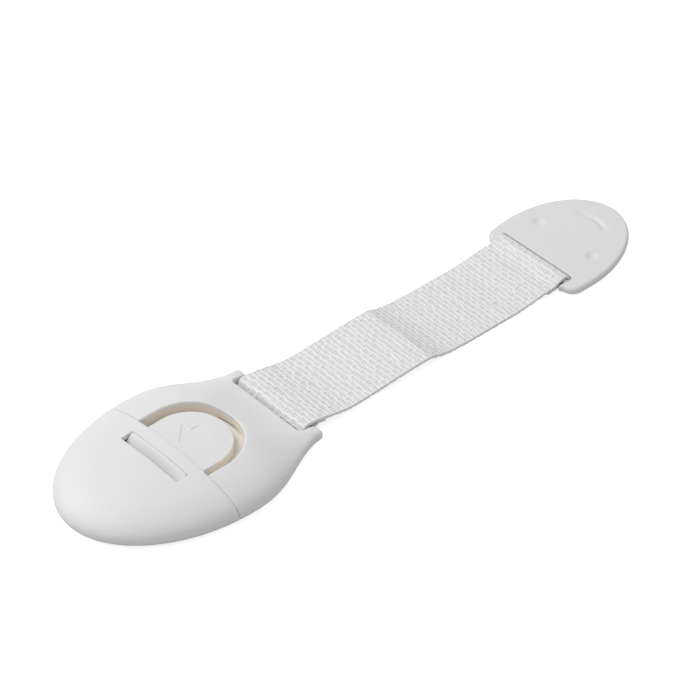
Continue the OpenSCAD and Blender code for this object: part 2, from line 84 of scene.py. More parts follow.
# Powers of the head's curves, and the shares of the tail's length between which the head falls to it
DOME_POWER, TAIL_POWER, SHOULDER_POWER = 2.2, 2.6, 1.2
PRONG_POWER, PRONG_START, PRONG_REACH = 4.4, 18.0, 13.0
FALL_START, FALL_END = 0.23, 0.84

# Painted shade: where the warm shade painted into recesses starts under the surface, and the depth over which
# it comes in
CAP_SHADE_DEPTHS, SHELL_SHADE_DEPTHS, BUTTON_SHADE_DEPTHS = (0.9, 1.0), (0.25, 0.9), (0.05, 0.3)
# Where that painted shade counts: above the cap's rim, off its seam, out from the opening's wall, in from the
# button's edge
ABOVE_RIM, OFF_SEAM, OPENING_BAND, BUTTON_BAND = 0.2, 0.05, 0.35, 0.6

# The outline's angle that the window's corners look to, in degrees, and the shell's places at the seam
CORNER_ANGLE = 62
SHELL_SEAM_X, NEAR_SEAM = SEAM_X + SEAM_GAP, np.array([0, 0.03, 0.08, 0.15, 0.22, 0.3, 0.45])
# Steps of a rounded edge, the halvings and reach of a search along a ray, and how near counts as there
EDGE_STEPS, HALVINGS, RAY_REACH, NEAR = 8, 40, 80.0, 0.01

# Sizes of the blocks that cut the slots, which flare where they leave the surface
CUTTER_LOW, CUTTER_TOP, CUTTER_PAST = -1.0, 14.0, 2.0
FLARE_ANGLE, FLARE_OUT, FLARE_UP = 78, 0.6, 0.9

# Sizes of the button and its arrow, plate and catch, in millimetres
BUTTON_R, BUTTON_TOP, BUTTON_FOOT, BUTTON_BACK = 11.05, 7.3, 4.85, -7.0
BUTTON_PLATE_LEFT, BUTTON_PLATE_TOP, BUTTON_PLATE_LAP = -13.9, 6.8, 0.2
ARROW = np.array([(-1.3, 1.3), (3.2, 5.7), (3.55, 2.9), (6.2, 2.8), (6.4, -1.0), (3.35, -1.05), (3.45, -3.8)])
ARROW_LEAN, ARROW_RISE, MITRE_LIMIT = 0.75, 0.4, 0.4
CATCH_RIGHT, CATCH_HALF_L, CATCH_RAMP, CATCH_FOOT = -8.7, 10.55, 1.8, BUTTON_FOOT + 0.3
CATCH_SINK, CATCH_BOW, CATCH_CREST, CREST_DROP = 0.1, 0.16, 0.4, 0.02
CATCH_END_STEPS = np.array([0, 0.05, 0.12, 0.2, 0.3])
# The catch's lip, as pairs of (way right of its face, way below its peak)
CATCH_LIP = [(0.14, 0.12), (0, 0.05), (-0.15, 0), (-CATCH_CREST, CREST_DROP)]

# Sizes of the slide, its peg and its skirt, in millimetres
SLIDE_LEFT, SLIDE_RIGHT, SLIDE_WING, SLIDE_HALF_W = -14.2, 11.6, 14.4, 9.3
SLIDE_TOP, SLIDE_PLATE_T, SLIDE_FOOT, SLIDE_EDGE = 4.8, 1.2, 2.3, 0.12
SLIDE_WALL_T, SLIDE_WALL_TOP, FLANGE_W, FLANGE_T = 1.4, SLIDE_TOP - 0.1, 1.2, 0.9
TONGUE_HALF_W, TONGUE_GAP = 4.0, 0.3
SLIDE_SLIT = TONGUE_HALF_W + TONGUE_GAP
PEG_LEFT, PEG_Z, PEG_D, PEG_LAP = -16.15, 3.75, 2.0, 0.2
SKIRT_LEFT, SKIRT_R, SKIRT_LOW, SKIRT_TOP = -4.0, 13.0, 4.42, 4.77
SLIDE_PLAN = [(SLIDE_LEFT, -SLIDE_HALF_W), (SLIDE_WING, -SLIDE_HALF_W), (SLIDE_WING, -SLIDE_SLIT),
              (SLIDE_RIGHT, -SLIDE_SLIT), (SLIDE_RIGHT, SLIDE_SLIT), (SLIDE_WING, SLIDE_SLIT),
              (SLIDE_WING, SLIDE_HALF_W), (SLIDE_LEFT, SLIDE_HALF_W)]

# Turns that lay a rod across the strap or along it
ACROSS, ALONG = (math.pi / 2, 0, 0), (0, math.pi / 2, 0)

# Sizes of the tab, in millimetres
TAB_LEFT, TAB_MID, TAB_TIP, TAB_HALF_W = 118.3, 127.8, 153.2, 17.5
TAB_FOOT, TAB_TOP, TAB_FOOT_INSET = 0.6, 2.5, 0.25
TAB_LEAN, TAB_LEAN_X = 0.055, 130.0
TAB_BAR_X, TAB_BAR_Z, TAB_BAR_D, TAB_BAR_ROOT = 120.6, 1.85, 1.4, 0.4
TAB_SLOT_RIGHT, TAB_SLOT_HALF_L, TAB_SLOT_CORNER, TAB_SLOT_EDGE = 123.0, 13.1, 0.8, 0.3
TAB_EAR_R, TAB_EAR_INSET = 3.6, 0.3
DIMPLE_X, DIMPLE_Y, DIMPLE_R, DIMPLE_POWER = 133.3, 10.3, 2.15, 1.5
CRESCENT_X, CRESCENT_R, CRESCENT_HALF_W, CRESCENT_POWER, CRESCENT_ANGLE = 136.0, 9.5, 1.15, 1.3, 39.0
PAD_EDGE, PAD_EDGE_SHARE, TAB_PAD_NARROW = 0.15, 0.2, 0.98

# Sizes of the webbing, in millimetres, and the shares of its span where it dips, touches down and rises
STRAP_W, STRAP_T, BODY_SHRINK = 25.0, 1.0, 0.02
LAP_REACH, LAP_GAP, LAP_INSET, INSET_REACH = 5.0, 0.05, 0.5, 3.0
HEAD_LOOP_R, TAB_LOOP_R = 2.15, 1.85
HEAD_LAP_SEEN, TAB_LAP_SEEN = 6.5, 6.0
CREASE_X, CREASE_H, DIP_SHARE, DIP_H = 70.092, 2.6, 0.38, 1.6
TOUCH_SHARE, LEAVE_SHARE = 0.31, 0.64
FOLD_X, FOLD_LEAD, FALL_X, FALL_H = 72.0, 0.5, 81.0, 0.7
PATH_STEP, SWEEP_STEP, TURN_STEPS = 0.2, 0.19, 40

# The webbing's edges: how far they stand out, half their flat height, and their wave and wobble
EDGE_OUT, EDGE_FLAT, EDGE_WAVE, EDGE_WOBBLE, WOBBLE_SPAN = 0.06, 0.2, 0.04, 0.005, 25
# The width over which the weave gets shallower towards an edge, and the share that is left there
EDGE_SOFT, EDGE_YARNS = 0.25, 0.4
# Places of the edges and of the underside in the webbing's map
EDGE_MAP, CLOSING_MAP, UNDERSIDE_MAP = np.array([0.3, 0.7]), 0.1, 30

# The weave: yarn widths in millimetres, and the stretch over which it closes up behind the head
CROSS_YARN_W, LONG_YARN_W, THREAD_W, LOOSE_START, LOOSE_REACH = 0.62, 0.55, 0.45, 14.0, 55.0
# How far each kind of yarn stands out, least and most
CROSS_STANDS, LONG_STANDS, THREAD_STANDS, STAND_LENGTH = (0.65, 1.0), (0.45, 0.95), (0.3, 0.75), 1.3
# How far the cross yarns wave and wander, in rows, and the long yarns shift and lean
WAVE, WANDER, WANDER_LENGTH, BRICK_SHIFT, YARN_LEAN = 0.09, 0.42, 2.9, 0.12, 0.25

# Satin of the white and of the inner plastic, as roughness
WHITE_SATIN, INNER_SATIN = 0.42, 0.5
# Painted shade on the sunk yarns and painted highlight on the raised ones, as shades of the webbing's colour,
# and how much the fibres show in it
WEAVE_DARK, WEAVE_LIGHT, FIBRE_DARK, FIBRE_LIGHT, FIBRE_SHARE = 0.765, 1.225, 0.9, 1.08, 0.22
# Tone of the webbing's edges, painted lighter against the shade on their faces, and how much painted shade
# darkens it behind the fold and on the turn at the tab
EDGE_TONE, FOLD_SHADE, FOLD_REACH = 0.65, 0.36, 13.0
TURN_SHADE, TURN_START, TURN_REACH = 0.55, 120.3, 1.2

# Stage: the camera's angles in degrees and its place in millimetres, the floor and lamps in metres
CAMERA_AZIMUTH, CAMERA_ELEVATION, CAMERA_ROLL = -41.967, 39.768, 0.294
CAMERA_TARGET, CAMERA_DISTANCE = (60.85, 10.81, 0.0), 835.0
CAMERA_FOCAL_PIXELS, PICTURE_PIXELS, SENSOR = 3185.4, 680, 36.0
FLOOR_SIZE, FLOOR_Z = 6, -0.0001
FLOOR_LOW, FLOOR_HIGH, FLOOR_UNSEEN, FLOOR_GLOW = 0.86, 0.88, 0.60, 0.72
LAMP_SIZE, LAMP_TARGET = (0.6, 0.6), (0.05, 0, 0)
KEY_PLACE, KEY_POWER = (-0.18, 0.46, 0.66), 4.1
FILL_PLACE, FILL_POWER = (-0.5, -0.5, 0.5), 0.12
WORLD_SEEN, WORLD_LIGHT = 1.0, 0.50


# Settings


class LockSizes(bpy.types.PropertyGroup):
    """Sizes of the looks, in millimetres"""

    opening_edge: bpy.props.FloatProperty(
        name="Opening edge", description="Rounding of the edge round the button's opening", default=0.55)
    seam_edge: bpy.props.FloatProperty(
        name="Seam edge", description="Rounding of the two edges along the seam", default=0.3)
    window_edge: bpy.props.FloatProperty(
        name="Window edge", description="Rounding of the window's edges", default=0.3)
    slot_edge: bpy.props.FloatProperty(
        name="Slot edge", description="Rounding of the slot's edges in the tail", default=0.45)
    button_edge: bpy.props.FloatProperty(
        name="Button edge", description="Rounding of the button's top edge", default=0.4)
    arrow_depth: bpy.props.FloatProperty(
        name="Arrow depth", description="Depth of the arrow sunk into the button", default=0.15)
    tab_edge: bpy.props.FloatProperty(
        name="Tab edge", description="Rounding of the tab's upper edge", default=1.0)
    dimple_depth: bpy.props.FloatProperty(
        name="Dimple depth", description="Depth of the two thumb dimples", default=0.5)
    crescent_depth: bpy.props.FloatProperty(
        name="Crescent depth", description="Depth of the crescent grip groove", default=0.45)
    yarn_pitch: bpy.props.FloatProperty(
        name="Yarn pitch", description="Distance between the cross yarns near the tab", default=1.38)
    loose_pitch: bpy.props.FloatProperty(
        name="Loose pitch", description="Distance between the cross yarns near the head", default=1.65)
    brick_length: bpy.props.FloatProperty(
        name="Brick length", description="Distance between the long yarns that show in one row", default=2.7)
    yarn_lift: bpy.props.FloatProperty(
        name="Yarn lift", description="How far a cross yarn stands out of the webbing", default=0.24)


class LockColours(bpy.types.PropertyGroup):
    """Colours of the looks"""

    shell: bpy.props.FloatVectorProperty(
        name="White plastic", description="Colour of the shells, button and tab",
        subtype="COLOR", size=3, min=0, max=1, default=(0.81, 0.81, 0.81))
    # Painted shade: a warm tone standing in for the light passed between the walls of the grooves, painted on
    # plastic that lies deep and on all of the inner parts
    recess_shade: bpy.props.FloatVectorProperty(
        name="Painted recess shade", description="Colour of the plastic down in the grooves",
        subtype="COLOR", size=3, min=0, max=1, default=(0.90, 0.845, 0.765))
    webbing: bpy.props.FloatVectorProperty(
        name="Webbing", description="Colour of the yarns",
        subtype="COLOR", size=3, min=0, max=1, default=(0.905, 0.905, 0.905))
    foam: bpy.props.FloatVectorProperty(
        name="Foam", description="Colour of the foam pads",
        subtype="COLOR", size=3, min=0, max=1, default=(0.62, 0.62, 0.60))
    steel: bpy.props.FloatVectorProperty(
        name="Spring wire", description="Colour of the spring",
        subtype="COLOR", size=3, min=0, max=1, default=(0.55, 0.56, 0.58))


# The head's form


def smooth(u):
    """From 0 to 1 with a soft start and end"""
    u = np.clip(u, 0, 1)
    return u * u * (3 - 2 * u)


def mix(a, b, u):
    """The value between a and b at the share u"""
    return a + (b - a) * u


def closing_shares(count):
    """Shares from 0 to 1 that lie closer together towards 1"""
    return 1 - (1 - np.linspace(0, 1, count)) ** 2.0


def into_tail(x):
    """How far the head's form has gone over into the tail's"""
    return smooth((x / TAIL_END - FALL_START) / (FALL_END - FALL_START))


def crown_height(x):
    """Height of the head's ridge along its middle"""
    return mix(HEAD_H, TAIL_H, into_tail(x))


def rim_height(x):
    """Height of the head's widest edge, where the side starts to tuck in"""
    return mix(RIM_Z, TAIL_RIM_Z, into_tail(x))


def head_half_width(x):
    """Half the head's width: an ellipse on the left, and a soft shoulder down to the tail on the right"""
    left = HEAD_HALF_W * np.sqrt(np.clip(1 - (x / HEAD_LEFT) ** 2, 0, 1))
    sweep = np.clip(x / TAIL_END, 0, 1) ** SHOULDER_POWER
    right = mix(TAIL_HALF_W, HEAD_HALF_W, (1 + np.cos(math.pi * sweep)) / 2)
    return np.where(x < 0, left, right)


def head_outline():
    """Points of the head's outline, from the left tip over the far side to the tail's end and back"""
    a = np.linspace(0, math.pi / 2, 160)
    left = np.stack([-HEAD_LEFT * np.cos(a), HEAD_HALF_W * np.sin(a)], -1)
    corner_x = TAIL_END - TAIL_CORNER
    x = np.linspace(0, corner_x, 120)[1:]
    right = np.stack([x, head_half_width(x)], -1)
    corner_y = float(head_half_width(np.array(corner_x))) - TAIL_CORNER
    b = np.linspace(math.pi / 2, 0, 24)[1:]
    corner = np.stack([corner_x + TAIL_CORNER * np.cos(b), corner_y + TAIL_CORNER * np.sin(b)], -1)
    end = np.stack([np.full(20, TAIL_END), np.linspace(corner_y, 0, 21)[1:]], -1)
    half = np.concatenate([left, right, corner, end])
    return np.concatenate([half, (half * [1, -1])[-2:0:-1]])


OUTLINE = head_outline()
OUTLINE_ANGLE = np.arctan2(OUTLINE[:, 1], OUTLINE[:, 0])
OUTLINE_ORDER = np.argsort(OUTLINE_ANGLE)
OUTLINE_RADIUS = np.linalg.norm(OUTLINE, axis=1)


def outline_radius(angle):
    """Distance of the outline from the origin in a direction"""
    return np.interp(angle, OUTLINE_ANGLE[OUTLINE_ORDER], OUTLINE_RADIUS[OUTLINE_ORDER], period=2 * math.pi)


def cavity_radius(angle, inset=0.0):
    """Distance of the hollow's widest outline from the origin in a direction"""
    c, s = np.cos(angle), np.sin(angle)
    left, right, half = CAVITY_LEFT + RIM_TUCK - inset, CAVITY_RIGHT, CAVITY_HALF_W + RIM_TUCK - inset
    return 1 / np.hypot(c / np.where(c < 0, left, right), s / half)


def head_height(x, y):
    """Height of the head's outer surface over a place"""
    angle = np.arctan2(y, x)
    radius = outline_radius(angle)
    px = radius * np.cos(angle)
    s = np.clip(np.hypot(x, y) / radius, 0, 1)
    n = mix(DOME_POWER, TAIL_POWER, into_tail(px))
    n = mix(n, PRONG_POWER, smooth((px - PRONG_START) / PRONG_REACH))
    rim = rim_height(px)
    return rim + (crown_height(x) - rim) * (1 - s**n) ** (1 / n)


def roof_height(x, y):
    """Height of the shell's underside over a place"""
    angle = np.arctan2(y, x)
    radius = cavity_radius(angle)
    px = radius * np.cos(angle)
    s = np.clip(np.hypot(x, y) / radius, 0, 1)
    rim = rim_height(px)
    return rim + (crown_height(x) - SHELL_T - rim) * (1 - s**DOME_POWER) ** (1 / DOME_POWER)


def ray_to_curve(start, way, radius_of):
    """Length from start along way to a closed curve given by its radius about the origin"""
    low, high = 0.0, RAY_REACH
    for _ in range(HALVINGS):
        middle = (low + high) / 2
        p = start + way * middle
        if np.hypot(p[0], p[1]) < radius_of(np.arctan2(p[1], p[0])):
            low = middle
        else:
            high = middle
    return low


def edge_profile(radius):
    """Pairs of (way in from the edge, way down from the surface) for a quarter-round edge"""
    a = np.linspace(0, math.pi / 2, EDGE_STEPS)
    return [*zip(radius * (1 - np.cos(a)), radius * (1 - np.sin(a)))]


def edge_drop(distance, radius):
    """How far a surface with a quarter-round edge has fallen at a distance from that edge"""
    d = np.clip(distance, 0, radius)
    return radius - np.sqrt(np.clip(radius**2 - (radius - d) ** 2, 0, None))


def recess_shade_share(depth, tone):
    """The painted recess shade at a depth under the surface: 0 down to where it starts, then up to 1"""
    start, reach = tone
    return smooth((depth - start) / reach)


# Making meshes


def deselect_all():
    if bpy.context.object and bpy.context.object.mode != "OBJECT":
        bpy.ops.object.mode_set(mode="OBJECT")
    bpy.ops.object.select_all(action="DESELECT")


def make_active(piece):
    deselect_all()
    bpy.context.view_layer.objects.active = piece
    piece.select_set(True)


def named_active(name):
    piece = bpy.context.active_object
    piece.name = name
    piece.data.name = name
    return piece


def apply_modifiers(piece):
    make_active(piece)
    for modifier in list(piece.modifiers):
        bpy.ops.object.modifier_apply(modifier=modifier.name)


def shade_by_angle(piece, degrees):
    make_active(piece)
    bpy.ops.object.shade_smooth_by_angle(angle=math.radians(degrees))


def draped_grid(name, rows, joined_ends=False, uv=None):
    """A grid laid over rows of points in millimetres. Each row is a closed loop. The rows' two ends are
    joined to each other, or else each is closed by a face."""
    closed = np.concatenate([rows, rows[:, :1]], axis=1)
    if joined_ends:
        closed = np.concatenate([closed, closed[:1]], axis=0)
    deselect_all()
    bpy.ops.mesh.primitive_grid_add(x_subdivisions=rows.shape[1], y_subdivisions=closed.shape[0] - 1, size=1)
    piece = named_active(name)
    piece.data.vertices.foreach_set("co", (closed.reshape(-1) * MM).astype(np.float32))
    if uv is not None:
        corner_vertex = np.zeros(len(piece.data.loops), np.int32)
        piece.data.loops.foreach_get("vertex_index", corner_vertex)
        corner_uv = uv.reshape(-1, 2)[corner_vertex]
        piece.data.uv_layers.active.data.foreach_set("uv", corner_uv.reshape(-1).astype(np.float32))
    piece.data.update()
    bpy.ops.object.mode_set(mode="EDIT")
    bpy.ops.mesh.select_all(action="SELECT")
    bpy.ops.mesh.remove_doubles(threshold=WELD)
    if not joined_ends:
        bpy.ops.mesh.select_all(action="DESELECT")
        bpy.ops.mesh.select_mode(type="EDGE")
        bpy.ops.mesh.select_non_manifold(extend=False, use_wire=False, use_boundary=True,
                                         use_multi_face=False, use_non_contiguous=False, use_verts=False)
        bpy.ops.mesh.fill_holes(sides=0)
    bpy.ops.mesh.select_all(action="SELECT")
    bpy.ops.mesh.normals_make_consistent(inside=False)
    bpy.ops.object.mode_set(mode="OBJECT")
    return piece


def plan_prism(name, plan, low, high):
    """A flat polygon raised from low to high: a circle primitive with its points moved to the plan"""
    deselect_all()
    bpy.ops.mesh.primitive_circle_add(vertices=len(plan), radius=MM, fill_type="NGON")
    piece = named_active(name)
    flat = np.column_stack([plan, np.full(len(plan), low)]) * MM
    piece.data.vertices.foreach_set("co", flat.reshape(-1).astype(np.float32))
    piece.data.update()
    bpy.ops.object.mode_set(mode="EDIT")
    bpy.ops.mesh.select_all(action="SELECT")
    bpy.ops.mesh.extrude_region_move(TRANSFORM_OT_translate={"value": (0, 0, (high - low) * MM)})
    bpy.ops.mesh.select_all(action="SELECT")
    bpy.ops.mesh.normals_make_consistent(inside=False)
    bpy.ops.object.mode_set(mode="OBJECT")
    return piece


def box(name, low, high):
    """A block between two corners, in millimetres"""
    low, high = np.array(low), np.array(high)
    deselect_all()
    bpy.ops.mesh.primitive_cube_add(size=1)
    piece = named_active(name)
    co = np.array([v.co for v in piece.data.vertices])
    piece.data.vertices.foreach_set("co", ((co + 0.5) * (high - low) + low).reshape(-1) * MM)
    piece.data.update()
    return piece


def rod(name, x, z, diameter, half_l, turn):
    """A rod with its middle at x and z, turned from upright to lie across the strap or along it"""
    deselect_all()
    bpy.ops.mesh.primitive_cylinder_add(vertices=48, radius=diameter / 2 * MM, depth=2 * half_l * MM,
                                        location=(x * MM, 0, z * MM), rotation=turn)
    piece = named_active(name)
    bpy.ops.object.transform_apply(location=True, rotation=True, scale=True)
    return piece


def bevel_where(piece, chosen, width, segments):
    """Rounds the edges whose two ends, in millimetres, are both chosen"""
    make_active(piece)
    mesh = piece.data
    co = np.array([v.co for v in mesh.vertices]) / MM
    keep = np.array([bool(chosen(p)) for p in co])
    bpy.ops.object.mode_set(mode="EDIT")
    bpy.ops.mesh.select_mode(type="EDGE")
    bpy.ops.mesh.select_all(action="DESELECT")
    bpy.ops.object.mode_set(mode="OBJECT")
    for edge in mesh.edges:
        edge.select = bool(keep[edge.vertices[0]] and keep[edge.vertices[1]])
    bpy.ops.object.mode_set(mode="EDIT")
    bpy.ops.mesh.bevel(offset=width * MM, segments=segments, affect="EDGES", clamp_overlap=True)
    bpy.ops.object.mode_set(mode="OBJECT")


def cut_with(piece, cutter):
    """Cuts one piece with another, which is used up"""
    modifier = piece.modifiers.new("Cut", "BOOLEAN")
    modifier.operation = "DIFFERENCE"
    modifier.solver = "EXACT"
    modifier.object = cutter
    apply_modifiers(piece)
    bpy.data.objects.remove(cutter)


def join(piece, *others):
    """Joins other pieces into the first one"""
    make_active(piece)
    for other in others:
        other.select_set(True)
    bpy.ops.object.join()


def mark(piece, name, value_of):
    """Stores a number from 0 to 1 on each vertex, worked out from its place in millimetres"""
    co = np.zeros(len(piece.data.vertices) * 3, np.float32)
    piece.data.vertices.foreach_get("co", co)
    layer = piece.data.attributes.new(name, "FLOAT", "POINT")
    layer.data.foreach_set("value", np.asarray(value_of(co.reshape(-1, 3) / MM), np.float32))


def finished(piece, body, slot, material, *replaced):
    """Gives a piece its material, the nodes that it stands for and the body that it rides on. The slot is not
    used.
    """
    piece.data.materials.clear()
    piece.data.materials.append(material)
    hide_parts(*replaced)
    if body:
        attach(piece, body)


# Materials


class Nodes:
    """Short calls for building a material's node tree"""

    def __init__(self, name):
        self.material = bpy.data.materials.new(name)
        self.material.use_nodes = True
        self.tree = self.material.node_tree
        self.shader = self.tree.nodes["Principled BSDF"]

    def add(self, kind, **settings):
        node = self.tree.nodes.new(kind)
        for key, value in settings.items():
            setattr(node, key, value)
        return node

    def link(self, output, target):
        self.tree.links.new(output, target)

    def object_place(self):
        return self.add("ShaderNodeTexCoord").outputs["Object"]

    def attribute(self, name):
        return self.add("ShaderNodeAttribute", attribute_name=name).outputs["Fac"]

    def math(self, operation, a, b):
        node = self.add("ShaderNodeMath", operation=operation)
        for value, socket in ((a, node.inputs[0]), (b, node.inputs[1])):
            if isinstance(value, (int, float)):
                socket.default_value = value
            else:
                self.link(value, socket)
        return node.outputs[0]

    def noise(self, vector, scale, detail, roughness=0.5):
        node = self.add("ShaderNodeTexNoise")
        node.inputs["Scale"].default_value = scale
        node.inputs["Detail"].default_value = detail
        node.inputs["Roughness"].default_value = roughness
        self.link(vector, node.inputs["Vector"])
        return node.outputs["Fac"]

    def blend(self, factor, a, b):
        """Mixes two colours, each an output or three numbers, by an output or a number"""
        node = self.add("ShaderNodeMix", data_type="RGBA")
        if isinstance(factor, (int, float)):
            node.inputs["Factor"].default_value = factor
        else:
            self.link(factor, node.inputs["Factor"])
        for value, name in ((a, "A"), (b, "B")):
            socket = [s for s in node.inputs if s.name == name and s.type == "RGBA"][0]
            if hasattr(value, "is_output"):
                self.link(value, socket)
            else:
                socket.default_value = (*value, 1)
        return [s for s in node.outputs if s.type == "RGBA"][0]

    def bump(self, height, distance, strength):
        """Bumps the shader's normal by a height, over a distance in metres"""
        node = self.add("ShaderNodeBump")
        node.inputs["Distance"].default_value = distance
        node.inputs["Strength"].default_value = strength
        self.link(height, node.inputs["Height"])
        self.link(node.outputs["Normal"], self.shader.inputs["Normal"])


def shade(colour, factor):
    """The colour made darker or lighter by a factor"""
    return tuple(min(1, c * factor) for c in colour)


def plastic(name, colour, recess_shade, roughness):
    """Satin moulded plastic: fine grain, faint flow marks, and a warm shade painted where a face lies deep in
    a recess
    """
    n = Nodes(name)
    place = n.object_place()
    flow = n.noise(place, scale=60, detail=2.0)
    tone = n.blend(flow, shade(colour, 0.985), shade(colour, 1.015))
    # Painted shade: faces that lie deep in a recess are blended to the warm shaded colour
    n.link(n.blend(n.attribute("recess_shade"), tone, recess_shade), n.shader.inputs["Base Color"])
    rough = n.add("ShaderNodeMapRange")
    rough.inputs["To Min"].default_value = roughness - 0.04
    rough.inputs["To Max"].default_value = roughness + 0.06
    n.link(n.noise(place, scale=420, detail=3.0), rough.inputs["Value"])
    n.link(rough.outputs["Result"], n.shader.inputs["Roughness"])
    grain = n.noise(place, scale=2600, detail=4.0, roughness=0.6)
    n.bump(grain, distance=0.00002, strength=0.35)
    n.shader.inputs["Specular IOR Level"].default_value = 0.4
    n.shader.inputs["Subsurface Weight"].default_value = 0.12
    n.shader.inputs["Subsurface Radius"].default_value = (0.0012, 0.0010, 0.0008)
    n.shader.inputs["Subsurface Scale"].default_value = 1.0
    return n.material


def woven(name, colour):
    """Polyester yarns: the pattern follows the strap's own map, with fibres inside each yarn"""
    n = Nodes(name)
    uv = n.add("ShaderNodeUVMap").outputs["UV"]
    stretch = n.add("ShaderNodeMapping")
    stretch.inputs["Scale"].default_value = (9.0, 2.2, 1.0)
    n.link(uv, stretch.inputs["Vector"])
    fibre = n.noise(stretch.outputs["Vector"], scale=1.0, detail=4.0, roughness=0.65)
    spread = n.noise(uv, scale=0.9, detail=3.0, roughness=0.6)
    uneven = n.math("MULTIPLY", n.math("SUBTRACT", spread, 0.5), 0.5)
    height = n.math("ADD", n.attribute("lift"), uneven)
    # Painted shade and highlight: sunk yarns are darkened and raised yarns lightened by how far they stand
    # out
    tone = n.blend(height, shade(colour, WEAVE_DARK), shade(colour, WEAVE_LIGHT))
    streak = n.blend(fibre, shade(colour, FIBRE_DARK), shade(colour, FIBRE_LIGHT))
    n.link(n.blend(FIBRE_SHARE, tone, streak), n.shader.inputs["Base Color"])
    n.bump(fibre, distance=0.00009, strength=0.7)
    n.shader.inputs["Roughness"].default_value = 0.62
    n.shader.inputs["Specular IOR Level"].default_value = 0.35
    n.shader.inputs["Sheen Weight"].default_value = 0.15
    return n.material


def foam(name, colour):
    """Closed-cell foam with small open bubbles on its cut faces"""
    n = Nodes(name)
    cells = n.add("ShaderNodeTexVoronoi")
    cells.inputs["Scale"].default_value = 3200
    n.link(n.object_place(), cells.inputs["Vector"])
    bubble = cells.outputs["Distance"]
    n.link(n.blend(bubble, shade(colour, 0.8), shade(colour, 1.06)), n.shader.inputs["Base Color"])
    n.bump(bubble, distance=0.00008, strength=0.7)
    n.shader.inputs["Roughness"].default_value = 0.9
    return n.material


def wire(name, colour):
    """Drawn spring wire with fine scratches"""
    n = Nodes(name)
    scratch = n.noise(n.object_place(), scale=2400, detail=5.0, roughness=0.7)
    n.link(n.blend(scratch, shade(colour, 0.85), shade(colour, 1.1)), n.shader.inputs["Base Color"])
    n.bump(scratch, distance=0.00001, strength=0.5)
    n.shader.inputs["Metallic"].default_value = 1.0
    n.shader.inputs["Roughness"].default_value = 0.34
    return n.material


def kept_material(name, make, *values):
    """The material of this name, made the first time that it is asked for"""
    return bpy.data.materials.get(name) or make(name, *values)


def white_plastic(colours):
    return kept_material("White plastic", plastic, tuple(colours.shell), tuple(colours.recess_shade), WHITE_SATIN)


# Painted shade: the inner parts are coloured all over in the warm tone painted into the grooves
def inner_plastic(colours):
    return kept_material("Inner plastic", plastic, tuple(colours.recess_shade), tuple(colours.recess_shade), INNER_SATIN)


# The cap


def seam_ledge(name, side):
    """A step of the cap's wall that lies under the seam's gap"""
    y = np.linspace(OPENING_R + abs(OPENING_Y) + LEDGE_GAP, LEDGE_END, 60)
    z = head_height(np.full_like(y, SEAM_X), y)
    slope = np.gradient(z, y)
    n = np.stack([-slope, np.ones_like(slope)], -1) / np.hypot(slope, 1)[:, None]
    root, tip = SEAM_X - LEDGE_ROOT, SEAM_X + LEDGE_REACH
    rows = []
    for x, drop in ((root, LEDGE_DROP), (tip, LEDGE_DROP), (tip, LEDGE_LOW), (root, LEDGE_LOW)):
        rows.append(np.column_stack([np.full_like(y, x), side * (y - n[:, 0] * drop), z - n[:, 1] * drop]))
    return draped_grid(name, np.stack(rows, axis=1))


def cap_stations():
    """Where the cap's section is swept, once round the window: a point of the window's edge, the point of
    the outline or the seam that it looks to, and whether that is the seam"""
    half, corner = WINDOW_HALF_L, math.radians(CORNER_ANGLE)
    seam_angle = math.acos(-SEAM_X / HEAD_LEFT)
    seam_half = HEAD_HALF_W * math.sin(seam_angle)

    def outline_point(angle):
        return -HEAD_LEFT * math.cos(angle), HEAD_HALF_W * math.sin(angle)

    side_shares = np.concatenate([np.linspace(0, 0.9, 30)[:-1], 1 - np.linspace(0.1, 0, 14)])
    stations = []
    for t in np.linspace(0, 1, 90)[:-1]:
        stations.append(((WINDOW_LEFT, mix(-half, half, t)), outline_point(mix(-corner, corner, t)), False))
    for t in side_shares:
        x = mix(WINDOW_LEFT, WINDOW_RIGHT, t)
        stations.append(((x, half), outline_point(mix(corner, seam_angle, t)), False))
    for t in np.linspace(0, 1, 110):
        share = math.cos(math.pi * t)
        stations.append(((WINDOW_RIGHT, share * half), (SEAM_X, share * seam_half), True))
    for t in 1 - side_shares[::-1]:
        x = mix(WINDOW_RIGHT, WINDOW_LEFT, t)
        stations.append(((x, -half), outline_point(-mix(seam_angle, corner, t)), False))
    return [(np.array(edge), np.array(end), at_seam) for edge, end, at_seam in stations]


